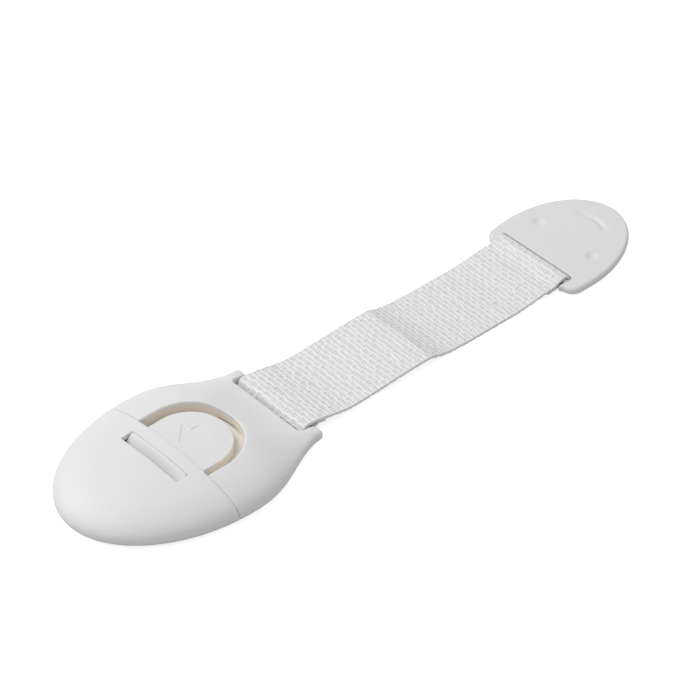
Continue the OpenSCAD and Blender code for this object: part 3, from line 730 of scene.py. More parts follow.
def cap_section(edge, end, at_seam, sizes):
    """Loop of points round the cap's wall, from the window's edge to the outline or the seam and back"""
    length = np.linalg.norm(end - edge)
    way = (end - edge) / length
    r = sizes.window_edge
    # Window wall and rounded edge, from the underside up
    wall_low, wall_high = float(roof_height(*edge)), float(head_height(*edge)) - r
    points = [[*edge, mix(wall_low, wall_high, share)] for share in (0.0, 0.5)]
    for out, fall in edge_profile(r):
        q = edge + way * out
        points.append([*q, float(head_height(*q)) - fall])
    # Outer surface out to the rim, or to the seam with steps that close up at its rounded edge
    if at_seam:
        last_tenth = 1 - 0.1 * (1 - np.linspace(0, 1, 15)[1:]) ** 1.6
        shares = np.concatenate([np.linspace(0, 0.9, 28)[1:], last_tenth])
    else:
        shares = closing_shares(42)[1:]
    for share in shares:
        q = edge + way * mix(r, length, share)
        points.append([*q, float(head_height(*q) - edge_drop(SEAM_X - q[0], sizes.seam_edge))])
    # The seam's own face, or the tucked-in side and the foot
    if at_seam:
        inner_share = (CAVITY_HALF_W + RIM_TUCK) / HEAD_HALF_W
        inner = np.array([SEAM_X, end[1] * inner_share])
        high, low = np.array(points[-1]), np.array([*inner, float(roof_height(*inner))])
        points += [mix(high, low, share) for share in np.linspace(0, 1, 10)[1:]]
    else:
        for a in np.radians(np.linspace(0, 90, 9)[1:]):
            q = end * (1 - RIM_TUCK * (1 - math.cos(a)) / np.linalg.norm(end))
            points.append([min(q[0], SEAM_X), q[1], RIM_Z - (RIM_Z - CAP_BOTTOM) * math.sin(a)])
        angle = math.atan2(end[1], end[0])
        foot, inner = (cavity_radius(angle, inset) * np.array([math.cos(angle), math.sin(angle)])
                       for inset in (RIM_TUCK, 0.0))
        points.append([min(foot[0], SEAM_X), foot[1], CAP_BOTTOM])
        inner[0] = min(inner[0], SEAM_X)
    # Underside back to the window
    for share in closing_shares(22)[:-1]:
        q = mix(inner, edge, share)
        points.append([*q, float(roof_height(*q))])
    return points


def build_cap(sizes, colours):
    """The cap: a loop of points round the shell's section, swept once round the window"""
    rows = np.array([cap_section(*station, sizes) for station in cap_stations()])
    cap = draped_grid("cap", rows, joined_ends=True)
    shade_by_angle(cap, 40)
    join(cap, *(seam_ledge("seam_ledge", side) for side in (-1, 1)))

    # Painted shade: the cap's faces take the warm recess tone by how deep under its surface they lie
    def how_shaded(p):
        tone = recess_shade_share(head_height(p[:, 0], p[:, 1]) - p[:, 2], CAP_SHADE_DEPTHS)
        return tone * (p[:, 2] > RIM_Z + ABOVE_RIM) * (np.abs(p[:, 0] - SEAM_X) > OFF_SEAM)

    mark(cap, "recess_shade", how_shaded)
    finished(cap, "base", "white_plastic", white_plastic(colours), "front_cap")


# The head shell


def shell_stations():
    """Where the shell's section is swept: a point of the opening's edge and the way outwards from it"""
    start = SHELL_SEAM_X + 2 * NEAR_SEAM[-1]
    straight = np.concatenate([SHELL_SEAM_X + NEAR_SEAM, np.linspace(start, OPENING_X, 12)[:-1]])
    centre = np.array([OPENING_X, OPENING_Y])
    ways = [np.array([math.cos(a), math.sin(a)]) for a in np.radians(np.linspace(-90, 90, 301))]
    near = [(np.array([x, OPENING_Y - OPENING_R]), np.array([0.0, -1.0])) for x in straight]
    far = [(np.array([x, OPENING_Y + OPENING_R]), np.array([0.0, 1.0])) for x in straight[::-1]]
    return near + [(centre + OPENING_R * way, way) for way in ways] + far


def shell_section(edge, way, sizes):
    """Loop of points round the shell's wall, from the opening's edge to the rim and back to the collar"""
    length = ray_to_curve(edge, way, outline_radius)
    end = edge + way * length
    tail = float(into_tail(end[0]))
    rim = float(rim_height(end[0]))
    tuck, tuck_foot = mix(RIM_TUCK, TAIL_TUCK, tail), mix(CAP_BOTTOM, TAIL_BOTTOM, tail)
    foot_z = max(SHELL_BOTTOM, tuck_foot)
    r = sizes.opening_edge
    # Opening's wall and rounded edge, and the outer surface out to the rim
    wall_high = float(head_height(*edge)) - r
    points = [[*edge, mix(COLLAR_BOTTOM, wall_high, share)] for share in (0.0, 0.35, 0.7)]
    for out, fall in edge_profile(r):
        q = edge + way * out
        points.append([*q, float(head_height(*q)) - fall])
    for share in closing_shares(56)[1:]:
        q = edge + way * mix(r, length, share)
        points.append([*q, float(head_height(*q))])
    # Tucked-in side
    last = math.asin(min(1.0, (rim - foot_z) / (rim - tuck_foot)))
    for a in np.linspace(0, last, 9)[1:]:
        q = end * (1 - tuck * (1 - math.cos(a)) / np.linalg.norm(end))
        points.append([*q, rim - (rim - tuck_foot) * math.sin(a)])
    outer = len(points)
    # Foot, inner wall and roof back to the collar
    wall_low = edge + way * ray_to_curve(edge, way, lambda angle: cavity_radius(angle, RIM_TUCK))
    points.append([*wall_low, foot_z])
    roof_length = ray_to_curve(edge, way, cavity_radius)
    for share in closing_shares(16):
        q = edge + way * mix(roof_length, COLLAR_T, share)
        points.append([*q, max(float(roof_height(*q)), foot_z)])
    q = edge + way * COLLAR_T
    points.append([*q, mix(float(roof_height(*q)), COLLAR_BOTTOM, 0.5)])
    points.append([*q, COLLAR_BOTTOM])
    points = np.array(points)
    from_seam = edge[0] - SHELL_SEAM_X
    if from_seam < sizes.seam_edge:
        points[:outer] -= across_normals(points[:outer]) * edge_drop(from_seam, sizes.seam_edge)
    return points


def across_normals(points):
    """Normals, across the strap, of a section's outer face"""
    tangent = np.gradient(points, axis=0)
    normal = np.stack([np.zeros(len(points)), tangent[:, 2], -tangent[:, 1]], -1)
    normal /= np.maximum(np.linalg.norm(normal, axis=1), 1e-9)[:, None]
    return normal if normal[len(points) // 2, 2] > 0 else -normal


def build_head_shell(sizes, colours):
    """The head shell: a loop of points round its section, swept from seam to seam round the opening"""
    rows = np.array([shell_section(*station, sizes) for station in shell_stations()])
    shell = draped_grid("head_shell_outer", rows)
    cutter = slot_cutter("slot_cutter", SLOT_LEFT, TAIL_END + CUTTER_PAST, SLOT_HALF_L, SLOT_CORNER,
                         sizes.slot_edge, head_height)
    cut_with(shell, cutter)
    join(shell, rod("bar", BAR_X, BAR_Z, BAR_D, SLOT_HALF_L + BAR_ROOT, ACROSS))
    shade_by_angle(shell, 34)

    # Painted shade: the shell's faces round the opening take the warm recess tone by how deep under its
    # surface they lie
    def how_shaded(p):
        beside = p[:, 1] - OPENING_Y
        to_centre = np.where(p[:, 0] > OPENING_X, np.hypot(p[:, 0] - OPENING_X, beside), np.abs(beside))
        tone = recess_shade_share(head_height(p[:, 0], p[:, 1]) - p[:, 2], SHELL_SHADE_DEPTHS)
        return tone * (to_centre < OPENING_R + OPENING_BAND)

    mark(shell, "recess_shade", how_shaded)
    finished(shell, "head", "white_plastic", white_plastic(colours), "head_shell")


def slot_cutter(name, left, right, half_l, corner_r, edge_r, height_of):
    """A block with two rounded corners at left, flared where it leaves the surface, to cut a slot"""
    way = 1 if right > left else -1
    straight = half_l - corner_r
    # Each place of the plan goes with the way in which its wall flares
    corner = [(left + way * corner_r * (1 - math.cos(a)), half_l - corner_r * (1 - math.sin(a)),
               -way * math.cos(a), math.sin(a)) for a in np.linspace(0, math.pi / 2, 9)]
    side = [(x, half_l, 0, 1) for x in np.linspace(left + way * corner_r, right, 14)[1:]]
    across = [(left, y, -way, 0) for y in np.linspace(-straight, straight, 34)[1:-1]]
    end = [(right, y, 0, 0) for y in np.linspace(half_l, -half_l, 20)[1:-1]]
    near = [(x, -y, nx, -ny) for x, y, nx, ny in (corner + side)[::-1]]
    ring = np.array(across + corner + side + end + near)
    p, n = ring[:, :2], ring[:, 2:]
    surface = height_of(p[:, 0], p[:, 1])
    rows = [np.column_stack([p, np.full(len(p), CUTTER_LOW)]), np.column_stack([p, surface - edge_r])]
    for a in np.radians(np.linspace(0, FLARE_ANGLE, 7)[1:]):
        q = p + n * edge_r * (1 - math.cos(a))
        rows.append(np.column_stack([q, height_of(q[:, 0], q[:, 1]) - edge_r * (1 - math.sin(a))]))
    beyond = p + n * (edge_r + FLARE_OUT)
    rows.append(np.column_stack([beyond, surface + FLARE_UP]))
    rows.append(np.column_stack([beyond, np.full(len(p), CUTTER_TOP)]))
    return draped_grid(name, np.array(rows))


# The button


def arrow_cutter(depth):
    """A block with the arrow's outline, whose walls lean out towards the button's surface"""
    arrow = plan_prism("arrow_cutter", ARROW, BUTTON_TOP - depth, BUTTON_TOP + ARROW_RISE)
    before, after = np.roll(ARROW, 1, 0), np.roll(ARROW, -1, 0)

    def outward(start, end):
        # The arrow's points run clockwise, so the outside is on their left
        along = (end - start) / np.linalg.norm(end - start)
        return np.array([-along[1], along[0]])

    co = np.array([v.co for v in arrow.data.vertices]) / MM
    for k in np.flatnonzero(co[:, 2] > BUTTON_TOP):
        i = int(np.argmin(np.linalg.norm(ARROW - co[k, :2], axis=1)))
        first = outward(before[i], ARROW[i])
        both = first + outward(ARROW[i], after[i])
        co[k, :2] = ARROW[i] + both / max(MITRE_LIMIT, float(both @ first)) * ARROW_LEAN
    arrow.data.vertices.foreach_set("co", (co * MM).reshape(-1).astype(np.float32))
    arrow.data.update()
    return arrow


def button_catch():
    """The catch: its section swept along the window, with its back following the dome"""
    length, end_r = 2 * CATCH_HALF_L, CATCH_END_STEPS[-1]
    places = np.concatenate([CATCH_END_STEPS, np.linspace(end_r, length - end_r, 60)[1:-1],
                             length - CATCH_END_STEPS[::-1]])
    crest = CATCH_RIGHT - CATCH_CREST
    rows = []
    for along in places:
        y = -CATCH_HALF_L + along
        drop = float(edge_drop(min(along, length - along), end_r))
        peak = float(head_height(np.array(CATCH_RIGHT), np.array(y))) - CATCH_SINK - drop
        section = [(CATCH_RIGHT + CATCH_LIP[0][0], CATCH_FOOT)]
        section += [(CATCH_RIGHT + right, peak - below) for right, below in CATCH_LIP]
        for u in np.linspace(0, 1, 10)[1:]:
            back = mix(peak, BUTTON_PLATE_TOP, u) + CATCH_BOW * math.sin(math.pi * u) - CREST_DROP
            section.append((crest - CATCH_RAMP * u, back))
        section.append((crest - CATCH_RAMP, CATCH_FOOT))
        rows.append([(x, y, z) for x, z in section])
    return draped_grid("catch", np.array(rows))


def build_button(sizes, colours):
    """The D-shaped button with its sunk arrow, the plate under the cap and the catch in the window"""
    arc = [(OPENING_X + BUTTON_R * math.cos(a), BUTTON_R * math.sin(a))
           for a in np.linspace(-math.pi / 2, math.pi / 2, 97)]
    plan = np.array([(BUTTON_BACK, -BUTTON_R)] + arc + [(BUTTON_BACK, BUTTON_R)])
    top = plan_prism("button", plan, BUTTON_FOOT, BUTTON_TOP)
    bevel_where(top, lambda p: p[2] > BUTTON_TOP - NEAR, sizes.button_edge, 8)
    cut_with(top, arrow_cutter(sizes.arrow_depth))
    plate = box("button_plate", (BUTTON_PLATE_LEFT, -CATCH_HALF_L, BUTTON_FOOT),
                (BUTTON_BACK + BUTTON_PLATE_LAP, CATCH_HALF_L, BUTTON_PLATE_TOP))
    catch = button_catch()
    shade_by_angle(top, 30)
    shade_by_angle(catch, 50)
    join(top, plate, catch)

    # Painted shade: the button's rim takes the warm recess tone by how far below its top it lies
    def how_shaded(p):
        beside = np.where(p[:, 0] > OPENING_X, np.hypot(p[:, 0] - OPENING_X, p[:, 1]), np.abs(p[:, 1]))
        at_rim = (beside > BUTTON_R - BUTTON_BAND) & (p[:, 0] > BUTTON_BACK - NEAR)
        return at_rim * recess_shade_share(BUTTON_TOP - p[:, 2], BUTTON_SHADE_DEPTHS)

    mark(top, "recess_shade", how_shaded)
    finished(top, "button", "white_plastic", white_plastic(colours), "release_button")


def skirt_plan():
    """A D round the button, slit in the middle for the tongue"""
    a = np.linspace(-math.pi / 2, math.pi / 2, 61)
    arc = np.column_stack([OPENING_X + SKIRT_R * np.cos(a), OPENING_Y + SKIRT_R * np.sin(a)])
    near, far = arc[arc[:, 1] < -SLIDE_SLIT], arc[arc[:, 1] > SLIDE_SLIT]
    slit = [(SLIDE_RIGHT, -SLIDE_SLIT), (SLIDE_RIGHT, SLIDE_SLIT)]
    return np.concatenate([[(SKIRT_LEFT, arc[0, 1])], near, slit, far, [(SKIRT_LEFT, arc[-1, 1])]])


def build_slide(colours):
    """The slide under the button, with a wing on each side of the latch tongue"""
    plate = plan_prism("slide", np.array(SLIDE_PLAN), SLIDE_TOP - SLIDE_PLATE_T, SLIDE_TOP)
    bevel_where(plate, lambda p: True, SLIDE_EDGE, 2)
    inner = SLIDE_HALF_W - SLIDE_WALL_T
    parts = []
    for side in (-1, 1):
        for name, outer, top in (("slide_wall", SLIDE_HALF_W, SLIDE_WALL_TOP),
                                 ("slide_flange", SLIDE_HALF_W + FLANGE_W, SLIDE_FOOT + FLANGE_T)):
            low_y, high_y = sorted((side * inner, side * outer))
            parts.append(box(name, (SLIDE_LEFT, low_y, SLIDE_FOOT), (SLIDE_RIGHT, high_y, top)))
    # The peg that the spring is pushed onto
    peg_half = (SLIDE_LEFT + PEG_LAP - PEG_LEFT) / 2
    parts.append(rod("spring_peg", PEG_LEFT + peg_half, PEG_Z, PEG_D, peg_half, ALONG))
    # A thin skirt on the slide closes the gap between the button and the opening
    parts.append(plan_prism("slide_skirt", skirt_plan(), SKIRT_LOW, SKIRT_TOP))
    join(plate, *parts)
    shade_by_angle(plate, 30)
    # Painted shade: the whole slide takes the warm recess tone
    mark(plate, "recess_shade", lambda p: np.ones(len(p)))
    finished(plate, "button", "inner_plastic", inner_plastic(colours), "latch_slide")


# The tab


def tab_outline(count):
    """Points of the tab's outline about its middle, one for each direction"""
    ear_y = TAB_HALF_W - TAB_EAR_INSET - TAB_EAR_R
    ears = [(TAB_LEFT + TAB_EAR_R * (1 + math.cos(a)), ear_y + TAB_EAR_R * math.sin(a))
            for a in np.radians(np.linspace(180, 90, 24))]
    ear_x, side_y = ears[-1]
    side = [(mix(ear_x, TAB_MID, u), mix(side_y, TAB_HALF_W, math.sin(u * math.pi / 2)))
            for u in np.linspace(0, 1, 20)[1:-1]]
    round_end = [(TAB_MID + (TAB_TIP - TAB_MID) * math.cos(a), TAB_HALF_W * math.sin(a))
                 for a in np.linspace(math.pi / 2, 0, 90)]
    half = np.array([(TAB_LEFT, 0.0)] + ears + side + round_end)
    whole = np.concatenate([half, (half * [1, -1])[-2:0:-1]]) - [TAB_MID, 0]
    angle = np.arctan2(whole[:, 1], whole[:, 0])
    order = np.argsort(angle)
    radius = np.linalg.norm(whole, axis=1)
    wanted = np.linspace(-math.pi, math.pi, count, endpoint=False)
    r = np.interp(wanted, angle[order], radius[order], period=2 * math.pi)
    return np.stack([r * np.cos(wanted), r * np.sin(wanted)], -1)


def tab_top(x, y, sizes):
    """Height of the tab's upper face, with its two dimples and its crescent groove"""
    z = np.full_like(x, TAB_TOP)
    for side in (-1, 1):
        off = np.hypot(x - DIMPLE_X, y - side * DIMPLE_Y) / DIMPLE_R
        z = z - sizes.dimple_depth * np.clip(1 - off**2, 0, 1) ** DIMPLE_POWER
    angle = np.degrees(np.arctan2(y, x - CRESCENT_X))
    ends = np.clip(1 - (np.abs(angle) / CRESCENT_ANGLE) ** 3, 0, 1)
    off = (np.hypot(x - CRESCENT_X, y) - CRESCENT_R) / CRESCENT_HALF_W
    return z - sizes.crescent_depth * ends * np.clip(1 - off**2, 0, 1) ** CRESCENT_POWER


def build_tab(sizes, colours):
    """The tab: lines from its foot over the rounded edge to its middle, then the slot and the bar"""
    edge = sizes.tab_edge
    # The edge's rings, as pairs of (way in from the outline, height)
    rings = [(TAB_FOOT_INSET * (1 - u) ** 2, TAB_FOOT + u * (TAB_TOP - edge - TAB_FOOT))
             for u in np.linspace(0, 1, 4)[:-1]]
    rings += [(edge * (1 - math.cos(a)), TAB_TOP - edge * (1 - math.sin(a)))
              for a in np.radians(np.linspace(0, 90, 9))]
    rows = []
    for p in tab_outline(360):
        reach = np.linalg.norm(p)
        line = [(*(p * (1 - inset / reach)), z) for inset, z in rings]
        flat = p * (1 - edge / reach)
        line += [(*(flat * share), 0.0) for share in np.linspace(1, 0, 76)[1:]]
        line.append((0, 0, TAB_FOOT))
        rows.append(line)
    rows = np.array(rows)
    rows[:, :, 0] += TAB_MID
    tops = rows[:, len(rings):-1]
    tops[:, :, 2] = tab_top(tops[:, :, 0], tops[:, :, 1], sizes)
    # The tab lies slightly turned to the strap, while its slot stays square to the webbing
    rows[:, :, 1] += TAB_LEAN * (rows[:, :, 0] - TAB_LEAN_X)
    tab = draped_grid("tab", rows, joined_ends=True)
    cutter = slot_cutter("tab_slot_cutter", TAB_SLOT_RIGHT, TAB_LEFT - CUTTER_PAST, TAB_SLOT_HALF_L,
                         TAB_SLOT_CORNER, TAB_SLOT_EDGE, lambda x, y: np.full_like(x, TAB_TOP))
    cut_with(tab, cutter)
    join(tab, rod("tab_bar", TAB_BAR_X, TAB_BAR_Z, TAB_BAR_D, TAB_SLOT_HALF_L + TAB_BAR_ROOT, ACROSS))
    shade_by_angle(tab, 34)
    mark(tab, "recess_shade", lambda p: np.zeros(len(p)))
    finished(tab, "tab", "white_plastic", white_plastic(colours), "tab_plate")


# The foam pads


def build_pad(name, node, plan, thickness, body, colours):
    """A foam pad: its outline raised to the pad's thickness, with slightly rounded edges"""
    pad = plan_prism(name, plan, 0, thickness)
    bevel_where(pad, lambda p: True, min(PAD_EDGE, thickness * PAD_EDGE_SHARE), 3)
    shade_by_angle(pad, 40)
    finished(pad, body, "foam", kept_material("Pad foam", foam, tuple(colours.foam)), node)


def oval_plan(left, right, half_w, count):
    """An oval whose left and right halves reach differently far"""
    a = np.linspace(0, 2 * math.pi, count, endpoint=False)
    c = np.cos(a)
    return np.stack([np.where(c < 0, left, right) * c, half_w * np.sin(a)], -1)


def tab_pad_plan(left, right, half_w):
    """A square end at left and half an oval at right"""
    a = np.linspace(math.pi / 2, -math.pi / 2, 64)
    arc = np.stack([TAB_MID + (right - TAB_MID) * np.cos(a), half_w * np.sin(a)], -1)
    corner_y = half_w * TAB_PAD_NARROW
    return np.concatenate([[(left, corner_y)], arc, [(left, -corner_y)]])[::-1]


# The webbing


WEB_MARKS = [
    (BAR_X, BAR_Z + HEAD_LOOP_R - STRAP_T / 2),
    (mix(BAR_X, CREASE_X, DIP_SHARE), DIP_H),
    (CREASE_X, CREASE_H),
    (FOLD_X, CREASE_H),
    (FALL_X, FALL_H),
    (mix(CREASE_X, TAB_BAR_X, TOUCH_SHARE), STRAP_T / 2),
    (mix(CREASE_X, TAB_BAR_X, LEAVE_SHARE), STRAP_T / 2),
    (TAB_BAR_X - TAB_LAP_SEEN, STRAP_T * 1.5 + LAP_GAP),
    (TAB_BAR_X - LAP_REACH, STRAP_T * 1.5 + LAP_GAP),
    (TAB_BAR_X, TAB_BAR_Z + TAB_LOOP_R - STRAP_T / 2),
]


def web_height(x):
    """Height of the webbing's middle line over a place between the bars"""
    for (x0, z0), (x1, z1) in zip(WEB_MARKS, WEB_MARKS[1:]):
        if x <= x1:
            share = (x - x0) / (x1 - x0)
            # The webbing leaves its fold steeply
            return mix(z0, z1, 1 - (1 - share) ** 2 if x0 == FOLD_X else float(smooth(share)))
    return WEB_MARKS[-1][1]


def lap_height(x, bar_x, bar_z, loop_r):
    """Height of a lap's middle line, from under its bar to under the webbing"""
    below = web_height(x) - STRAP_T - LAP_GAP
    return mix(bar_z - loop_r + STRAP_T / 2, below, float(smooth(abs(x - bar_x) / LAP_REACH)))


def loop_points(bar_x, bar_z, loop_r, way):
    """Half a turn round a bar, upwards round its left side (way -1) or downwards round its right (way 1)"""
    r = way * (loop_r - STRAP_T / 2)
    return [(bar_x + r * math.sin(a), bar_z + r * math.cos(a)) for a in np.linspace(0, math.pi, TURN_STEPS)]


def web_middle_line():
    """Middle line of the webbing, from the end of one lap round both bars to the end of the other"""
    head, tab = (BAR_X, BAR_Z, HEAD_LOOP_R), (TAB_BAR_X, TAB_BAR_Z, TAB_LOOP_R)
    points = [(x, lap_height(x, *head)) for x in np.arange(BAR_X + HEAD_LAP_SEEN, BAR_X, -PATH_STEP)]
    points += loop_points(*head, -1)
    points += [(x, web_height(x)) for x in np.arange(BAR_X + PATH_STEP, TAB_BAR_X, PATH_STEP)]
    points += loop_points(*tab, 1)
    lap_end = TAB_BAR_X - TAB_LAP_SEEN
    points += [(x, lap_height(x, *tab)) for x in np.arange(TAB_BAR_X - PATH_STEP, lap_end, -PATH_STEP)]
    points = np.array(points)
    lengths = np.concatenate([[0], np.cumsum(np.linalg.norm(np.diff(points, axis=0), axis=1))])
    along = np.linspace(0, lengths[-1], int(round(lengths[-1] / SWEEP_STEP)) + 1)
    line = np.stack([np.interp(along, lengths, points[:, 0]), np.interp(along, lengths, points[:, 1])], -1)
    return line, along


def yarn_chance(row, column, seed):
    """A steady number from 0 to 1 for each crossing of two yarns"""
    mixed = np.sin(row * 12.9898 + column * 78.233 + seed * 37.719) * 43758.5453
    return mixed - np.floor(mixed)


def yarn_noise(row, place, seed):
    """A steady number from 0 to 1 that changes smoothly along one yarn"""
    k = np.floor(place)
    return mix(yarn_chance(row, k, seed), yarn_chance(row, k + 1, seed), smooth(place - k))


def hump(distance, half):
    """A rounded ridge: 1 on its middle and 0 from half its width on"""
    return np.clip(1 - (distance / half) ** 2, 0, 1) ** 0.6


def yarn_rows(along, sizes):
    """Number of cross yarns passed at each place along the webbing"""
    pitch = mix(sizes.loose_pitch, sizes.yarn_pitch, smooth((along - LOOSE_START) / LOOSE_REACH))
    return np.cumsum(np.gradient(along) / pitch)


def weave_lift(rows, across, sizes):
    """How far the yarns stand out, from 0 to 1. Wavy cross yarns run between rows of sunk bricks, and short
    pieces of long yarn part the bricks. Each row of bricks is shifted by half a brick."""
    brick, pitch = sizes.brick_length, sizes.yarn_pitch
    best = np.zeros_like(across)
    low_row = np.floor(rows)
    for row in (low_row, low_row + 1):
        wave = WAVE * np.sin(2 * math.pi * across / brick + math.pi * row)
        wave = wave + WANDER * (yarn_noise(row, across / WANDER_LENGTH, 1) - 0.5)
        stands = mix(*CROSS_STANDS, yarn_noise(row, across / STAND_LENGTH, 2))
        best = np.maximum(best, stands * hump((rows - row - wave) * pitch, CROSS_YARN_W / 2))
    shift = (low_row % 2) / 2
    column0 = np.round(across / brick - shift)
    for column in (column0 - 1, column0, column0 + 1):
        chance = yarn_chance(low_row, column, 3)
        centre = (column + shift + BRICK_SHIFT * (chance - 0.5)) * brick
        lean = YARN_LEAN * (yarn_chance(low_row, column, 4) - 0.5) * (rows - low_row - 0.5)
        best = np.maximum(best, mix(*LONG_STANDS, chance) * hump(across - centre - lean, LONG_YARN_W / 2))
        for third in (1, 2):
            thread = centre + brick * third / 3
            stands = mix(*THREAD_STANDS, yarn_chance(low_row, column, 4 + third))
            best = np.maximum(best, stands * hump(across - thread, THREAD_W / 2))
    return best


def edge_wobble(count):
    """A slow random sway of the webbing's edges, in millimetres"""
    draws = np.random.default_rng(7).normal(0, 1, count + WOBBLE_SPAN - 1)
    return EDGE_WOBBLE * np.convolve(draws, np.ones(WOBBLE_SPAN) / WOBBLE_SPAN, "valid")


def painted_fold_and_turn_shade(x):
    """Painted shade: how much darker the yarns are made behind the fold and on the turn at the tab, where
    their faces turn from the light
    """
    fold = FOLD_SHADE * float(smooth(1 - (x - FOLD_X) / FOLD_REACH)) if x > FOLD_X - FOLD_LEAD else 0
    return fold + TURN_SHADE * float(smooth((x - TURN_START) / TURN_REACH))


def build_webbing(sizes, colours):
    """The webbing: its section, with the yarns standing out of both faces, swept along its middle line"""
    line, along = web_middle_line()
    rows_passed = yarn_rows(along, sizes)
    tangent = np.gradient(line, axis=0)
    tangent /= np.linalg.norm(tangent, axis=1)[:, None]
    half = STRAP_W / 2
    body = STRAP_T / 2 - BODY_SHRINK
    top_y, low_y = np.linspace(-half, half, 125), np.linspace(half, -half, 13)
    top_reach = mix(EDGE_YARNS, 1, np.clip((half - np.abs(top_y)) / EDGE_SOFT, 0, 1))
    sway = EDGE_WAVE * np.sin(math.pi * along / sizes.yarn_pitch) + edge_wobble(len(along))
    rows, lifts = [], []
    for i, (x, z) in enumerate(line):
        # The outer face is the one that is on top in the middle of the strap
        nx, nz = -tangent[i, 1], tangent[i, 0]
        to_end = min(along[i], along[-1] - along[i])
        narrow = 1 - LAP_INSET / half * (1 - float(smooth((to_end - LAP_REACH) / INSET_REACH)))
        top = weave_lift(np.full_like(top_y, rows_passed[i]), top_y, sizes)
        low = weave_lift(np.full_like(low_y, rows_passed[i] + 0.5), low_y, sizes)
        swayed = top_y.copy()
        swayed[[0, -1]] += [-sway[i], sway[i]]
        edge_y = half + EDGE_OUT + sway[i]
        section = [*zip(swayed, body - sizes.yarn_lift * (1 - top) * top_reach)]
        section += [(edge_y, EDGE_FLAT), (edge_y, -EDGE_FLAT)]
        section += [*zip(low_y, sizes.yarn_lift * (1 - low) - body)]
        section += [(-edge_y, -EDGE_FLAT), (-edge_y, EDGE_FLAT)]
        rows.append([(x + nx * h, y * narrow, z + nz * h) for y, h in section])
        # Painted shade behind the fold and on the tab's turn is taken off the yarns' tone, and the edges get
        # a fixed lighter tone painted against their shade
        lifts.append(np.concatenate([top - painted_fold_and_turn_shade(x), [EDGE_TONE] * 2, low, [EDGE_TONE] * 2]))
    rows, lifts = np.array(rows), np.concatenate(lifts)
    across = np.concatenate([top_y, half + EDGE_MAP, low_y + UNDERSIDE_MAP, -half - EDGE_MAP[::-1],
                             [-half - CLOSING_MAP]])
    web = draped_grid("webbing", rows, uv=np.stack(np.broadcast_arrays(along[:, None], across), -1))
    mark(web, "lift", lambda p: nearest_values(p, rows.reshape(-1, 3), lifts))
    shade_by_angle(web, 180)
    finished(web, None, "webbing", kept_material("Strap webbing", woven, tuple(colours.webbing)),
             "strap_head_half", "strap_crease", "strap_tab_half")
    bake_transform(web)


def nearest_values(points, places, values):
    """The value stored at the place that each point lies on, found by places rounded to 0.002 mm"""

    def keys(p):
        return map(tuple, np.round(p * 500).astype(np.int64))

    table = dict(zip(keys(places), values))
    return [table.get(key, 0.5) for key in keys(points)]


# Operators


def settings(context):
    return context.scene.lock_sizes, context.scene.lock_colours


class LOCK_OT_cap(bpy.types.Operator):
    """Builds the cap with its window"""

    bl_idname = "lock.cap"
    bl_label = "Build cap"

    def execute(self, context):
        build_cap(*settings(context))
        return {"FINISHED"}


class LOCK_OT_head_shell(bpy.types.Operator):
    """Builds the head shell with its opening, collar, slot and bar"""

    bl_idname = "lock.head_shell"
    bl_label = "Build head shell"

    def execute(self, context):
        build_head_shell(*settings(context))
        return {"FINISHED"}


class LOCK_OT_button(bpy.types.Operator):
    """Builds the button with its arrow and catch, and the slide under it"""

    bl_idname = "lock.button"
    bl_label = "Build button"

    def execute(self, context):
        sizes, colours = settings(context)
        build_button(sizes, colours)
        build_slide(colours)
        return {"FINISHED"}


class LOCK_OT_tab(bpy.types.Operator):
    """Builds the tab with its dimples, groove, slot and bar"""

    bl_idname = "lock.tab"
    bl_label = "Build tab"

    def execute(self, context):
        build_tab(*settings(context))
        return {"FINISHED"}


class LOCK_OT_pads(bpy.types.Operator):
    """Builds the two foam pads"""

    bl_idname = "lock.pads"
    bl_label = "Build foam pads"

    def execute(self, context):
        colours = context.scene.lock_colours
        low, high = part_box("base_foam_pad")
        plan = oval_plan(-low.x / MM, high.x / MM, high.y / MM, 128)
        build_pad("base_pad", "base_foam_pad", plan, high.z / MM, "base", colours)
        low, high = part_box("tab_foam_pad")
        plan = tab_pad_plan(low.x / MM, high.x / MM, high.y / MM)
        build_pad("tab_pad", "tab_foam_pad", plan, high.z / MM, "tab", colours)
        return {"FINISHED"}


class LOCK_OT_webbing(bpy.types.Operator):
    """Builds the woven strap"""

    bl_idname = "lock.webbing"
    bl_label = "Build webbing"

    def execute(self, context):
        build_webbing(*settings(context))
        return {"FINISHED"}


class LOCK_OT_inner_parts(bpy.types.Operator):
    """Gives the parts inside the head their materials: the base plate and tongue wholly in the painted recess
    shade, the spring its wire
    """

    bl_idname = "lock.inner_parts"
    bl_label = "Dress inner parts"

    def execute(self, context):
        colours = context.scene.lock_colours
        inner = inner_plastic(colours)
        steel = kept_material("Spring wire", wire, tuple(colours.steel))
        for name, material in (("base_plate", inner), ("latch_tongue", inner), ("return_spring", steel)):
            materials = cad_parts[name].data.materials
            materials.clear()
            materials.append(material)
        return {"FINISHED"}


# Stage


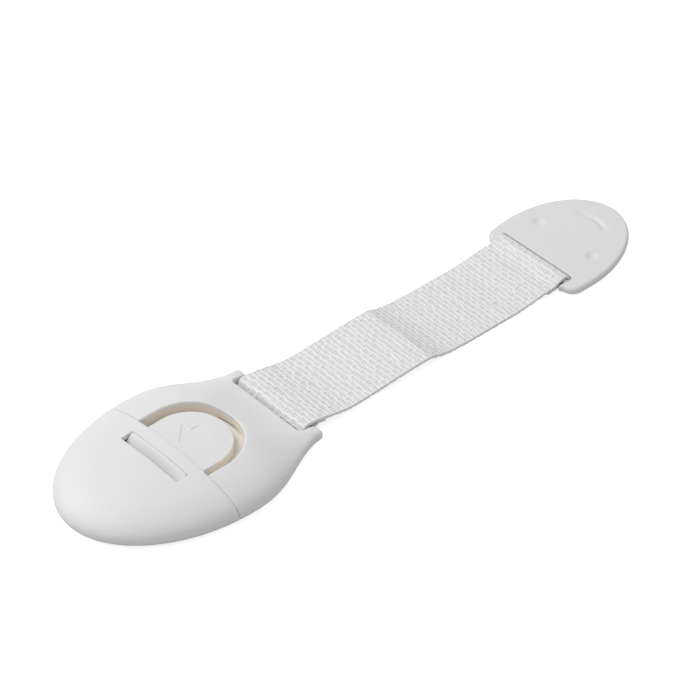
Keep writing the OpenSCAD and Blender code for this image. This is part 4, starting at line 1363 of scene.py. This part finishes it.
def add_camera():
    az, el, roll = (math.radians(v) for v in (CAMERA_AZIMUTH, CAMERA_ELEVATION, CAMERA_ROLL))
    back = Vector((math.sin(az) * math.cos(el), -math.cos(az) * math.cos(el), math.sin(el)))
    right = Vector((math.cos(az), math.sin(az), 0))
    up = back.cross(right)
    turned_right = right * math.cos(roll) + up * math.sin(roll)
    turned_up = -right * math.sin(roll) + up * math.cos(roll)
    bpy.ops.object.camera_add()
    camera = bpy.context.object
    camera.name = "camera"
    place = Vector(CAMERA_TARGET) * MM + back * CAMERA_DISTANCE * MM
    turn = Matrix((turned_right, turned_up, back)).transposed().to_4x4()
    camera.matrix_world = Matrix.Translation(place) @ turn
    camera.data.sensor_width = SENSOR
    camera.data.lens = CAMERA_FOCAL_PIXELS / PICTURE_PIXELS * SENSOR
    camera.data.clip_start = 0.01
    camera.data.clip_end = 20
    bpy.context.scene.camera = camera


def add_lamp(name, place, power):
    bpy.ops.object.light_add(type="AREA", location=place)
    lamp = bpy.context.object
    lamp.name = name
    lamp.data.shape = "RECTANGLE"
    lamp.data.size, lamp.data.size_y = LAMP_SIZE
    lamp.data.energy = power
    lamp.rotation_euler = (Vector(LAMP_TARGET) - Vector(place)).to_track_quat("-Z", "Y").to_euler()


def backdrop_material():
    """A white floor: the camera sees it bright, and it keeps the object's shadow"""
    n = Nodes("Backdrop white")
    path = n.add("ShaderNodeLightPath")
    mirrored = n.math("MAXIMUM", path.outputs["Is Glossy Ray"], path.outputs["Is Transmission Ray"])
    seen = n.math("MAXIMUM", path.outputs["Is Camera Ray"], mirrored)
    white = n.blend(n.noise(n.object_place(), scale=8, detail=2.0), (FLOOR_LOW,) * 3, (FLOOR_HIGH,) * 3)
    n.link(n.blend(seen, (FLOOR_UNSEEN,) * 3, white), n.shader.inputs["Base Color"])
    n.shader.inputs["Roughness"].default_value = 0.95
    n.shader.inputs["Specular IOR Level"].default_value = 0.0
    glow = n.math("MULTIPLY", path.outputs["Is Camera Ray"], FLOOR_GLOW)
    n.shader.inputs["Emission Color"].default_value = (1, 1, 1, 1)
    n.link(glow, n.shader.inputs["Emission Strength"])
    return n.material


def build_world():
    """A white world that lights the object less than the camera sees"""
    world = bpy.data.worlds.new("Studio")
    bpy.context.scene.world = world
    world.use_nodes = True
    tree = world.node_tree
    tree.nodes.clear()

    def white(strength):
        node = tree.nodes.new("ShaderNodeBackground")
        node.inputs["Color"].default_value = (1, 1, 1, 1)
        node.inputs["Strength"].default_value = strength
        return node.outputs[0]

    output = tree.nodes.new("ShaderNodeOutputWorld")
    path = tree.nodes.new("ShaderNodeLightPath")
    shader = tree.nodes.new("ShaderNodeMixShader")
    tree.links.new(path.outputs["Is Camera Ray"], shader.inputs["Fac"])
    tree.links.new(white(WORLD_LIGHT), shader.inputs[1])
    tree.links.new(white(WORLD_SEEN), shader.inputs[2])
    tree.links.new(shader.outputs[0], output.inputs["Surface"])


class LOCK_OT_stage(bpy.types.Operator):
    """Adds the floor, the light and the camera"""

    bl_idname = "lock.stage"
    bl_label = "Set the stage"

    def execute(self, context):
        deselect_all()
        bpy.ops.mesh.primitive_plane_add(size=FLOOR_SIZE, location=(0, 0, FLOOR_Z))
        floor = named_active("floor")
        floor.data.materials.append(backdrop_material())
        build_world()
        add_lamp("key", KEY_PLACE, KEY_POWER)
        add_lamp("fill", FILL_PLACE, FILL_POWER)
        add_camera()
        context.scene.view_settings.view_transform = "Standard"
        return {"FINISHED"}


class LOCK_PT_panel(bpy.types.Panel):
    """Sidebar panel of the strap lock"""

    bl_idname = "LOCK_PT_panel"
    bl_label = "Strap lock"
    bl_space_type = "VIEW_3D"
    bl_region_type = "UI"
    bl_category = "Strap lock"

    def draw(self, context):
        for group in (context.scene.lock_sizes, context.scene.lock_colours):
            for name in group.__annotations__:
                self.layout.prop(group, name)
        for operator in STEPS:
            self.layout.operator(operator.bl_idname)


STEPS = (LOCK_OT_cap, LOCK_OT_head_shell, LOCK_OT_button, LOCK_OT_tab, LOCK_OT_pads, LOCK_OT_webbing,
         LOCK_OT_inner_parts, LOCK_OT_stage)
CLASSES = (LockSizes, LockColours, *STEPS, LOCK_PT_panel)


def register():
    for c in CLASSES:
        bpy.utils.register_class(c)
    bpy.types.Scene.lock_sizes = bpy.props.PointerProperty(type=LockSizes)
    bpy.types.Scene.lock_colours = bpy.props.PointerProperty(type=LockColours)


def unregister():
    del bpy.types.Scene.lock_colours
    del bpy.types.Scene.lock_sizes
    for c in reversed(CLASSES):
        bpy.utils.unregister_class(c)


def main():
    register()
    bpy.ops.lock.cap()
    bpy.ops.lock.head_shell()
    bpy.ops.lock.button()
    bpy.ops.lock.tab()
    bpy.ops.lock.pads()
    bpy.ops.lock.webbing()
    bpy.ops.lock.inner_parts()
    bpy.ops.lock.stage()


if __name__ == "__main__":
    main()
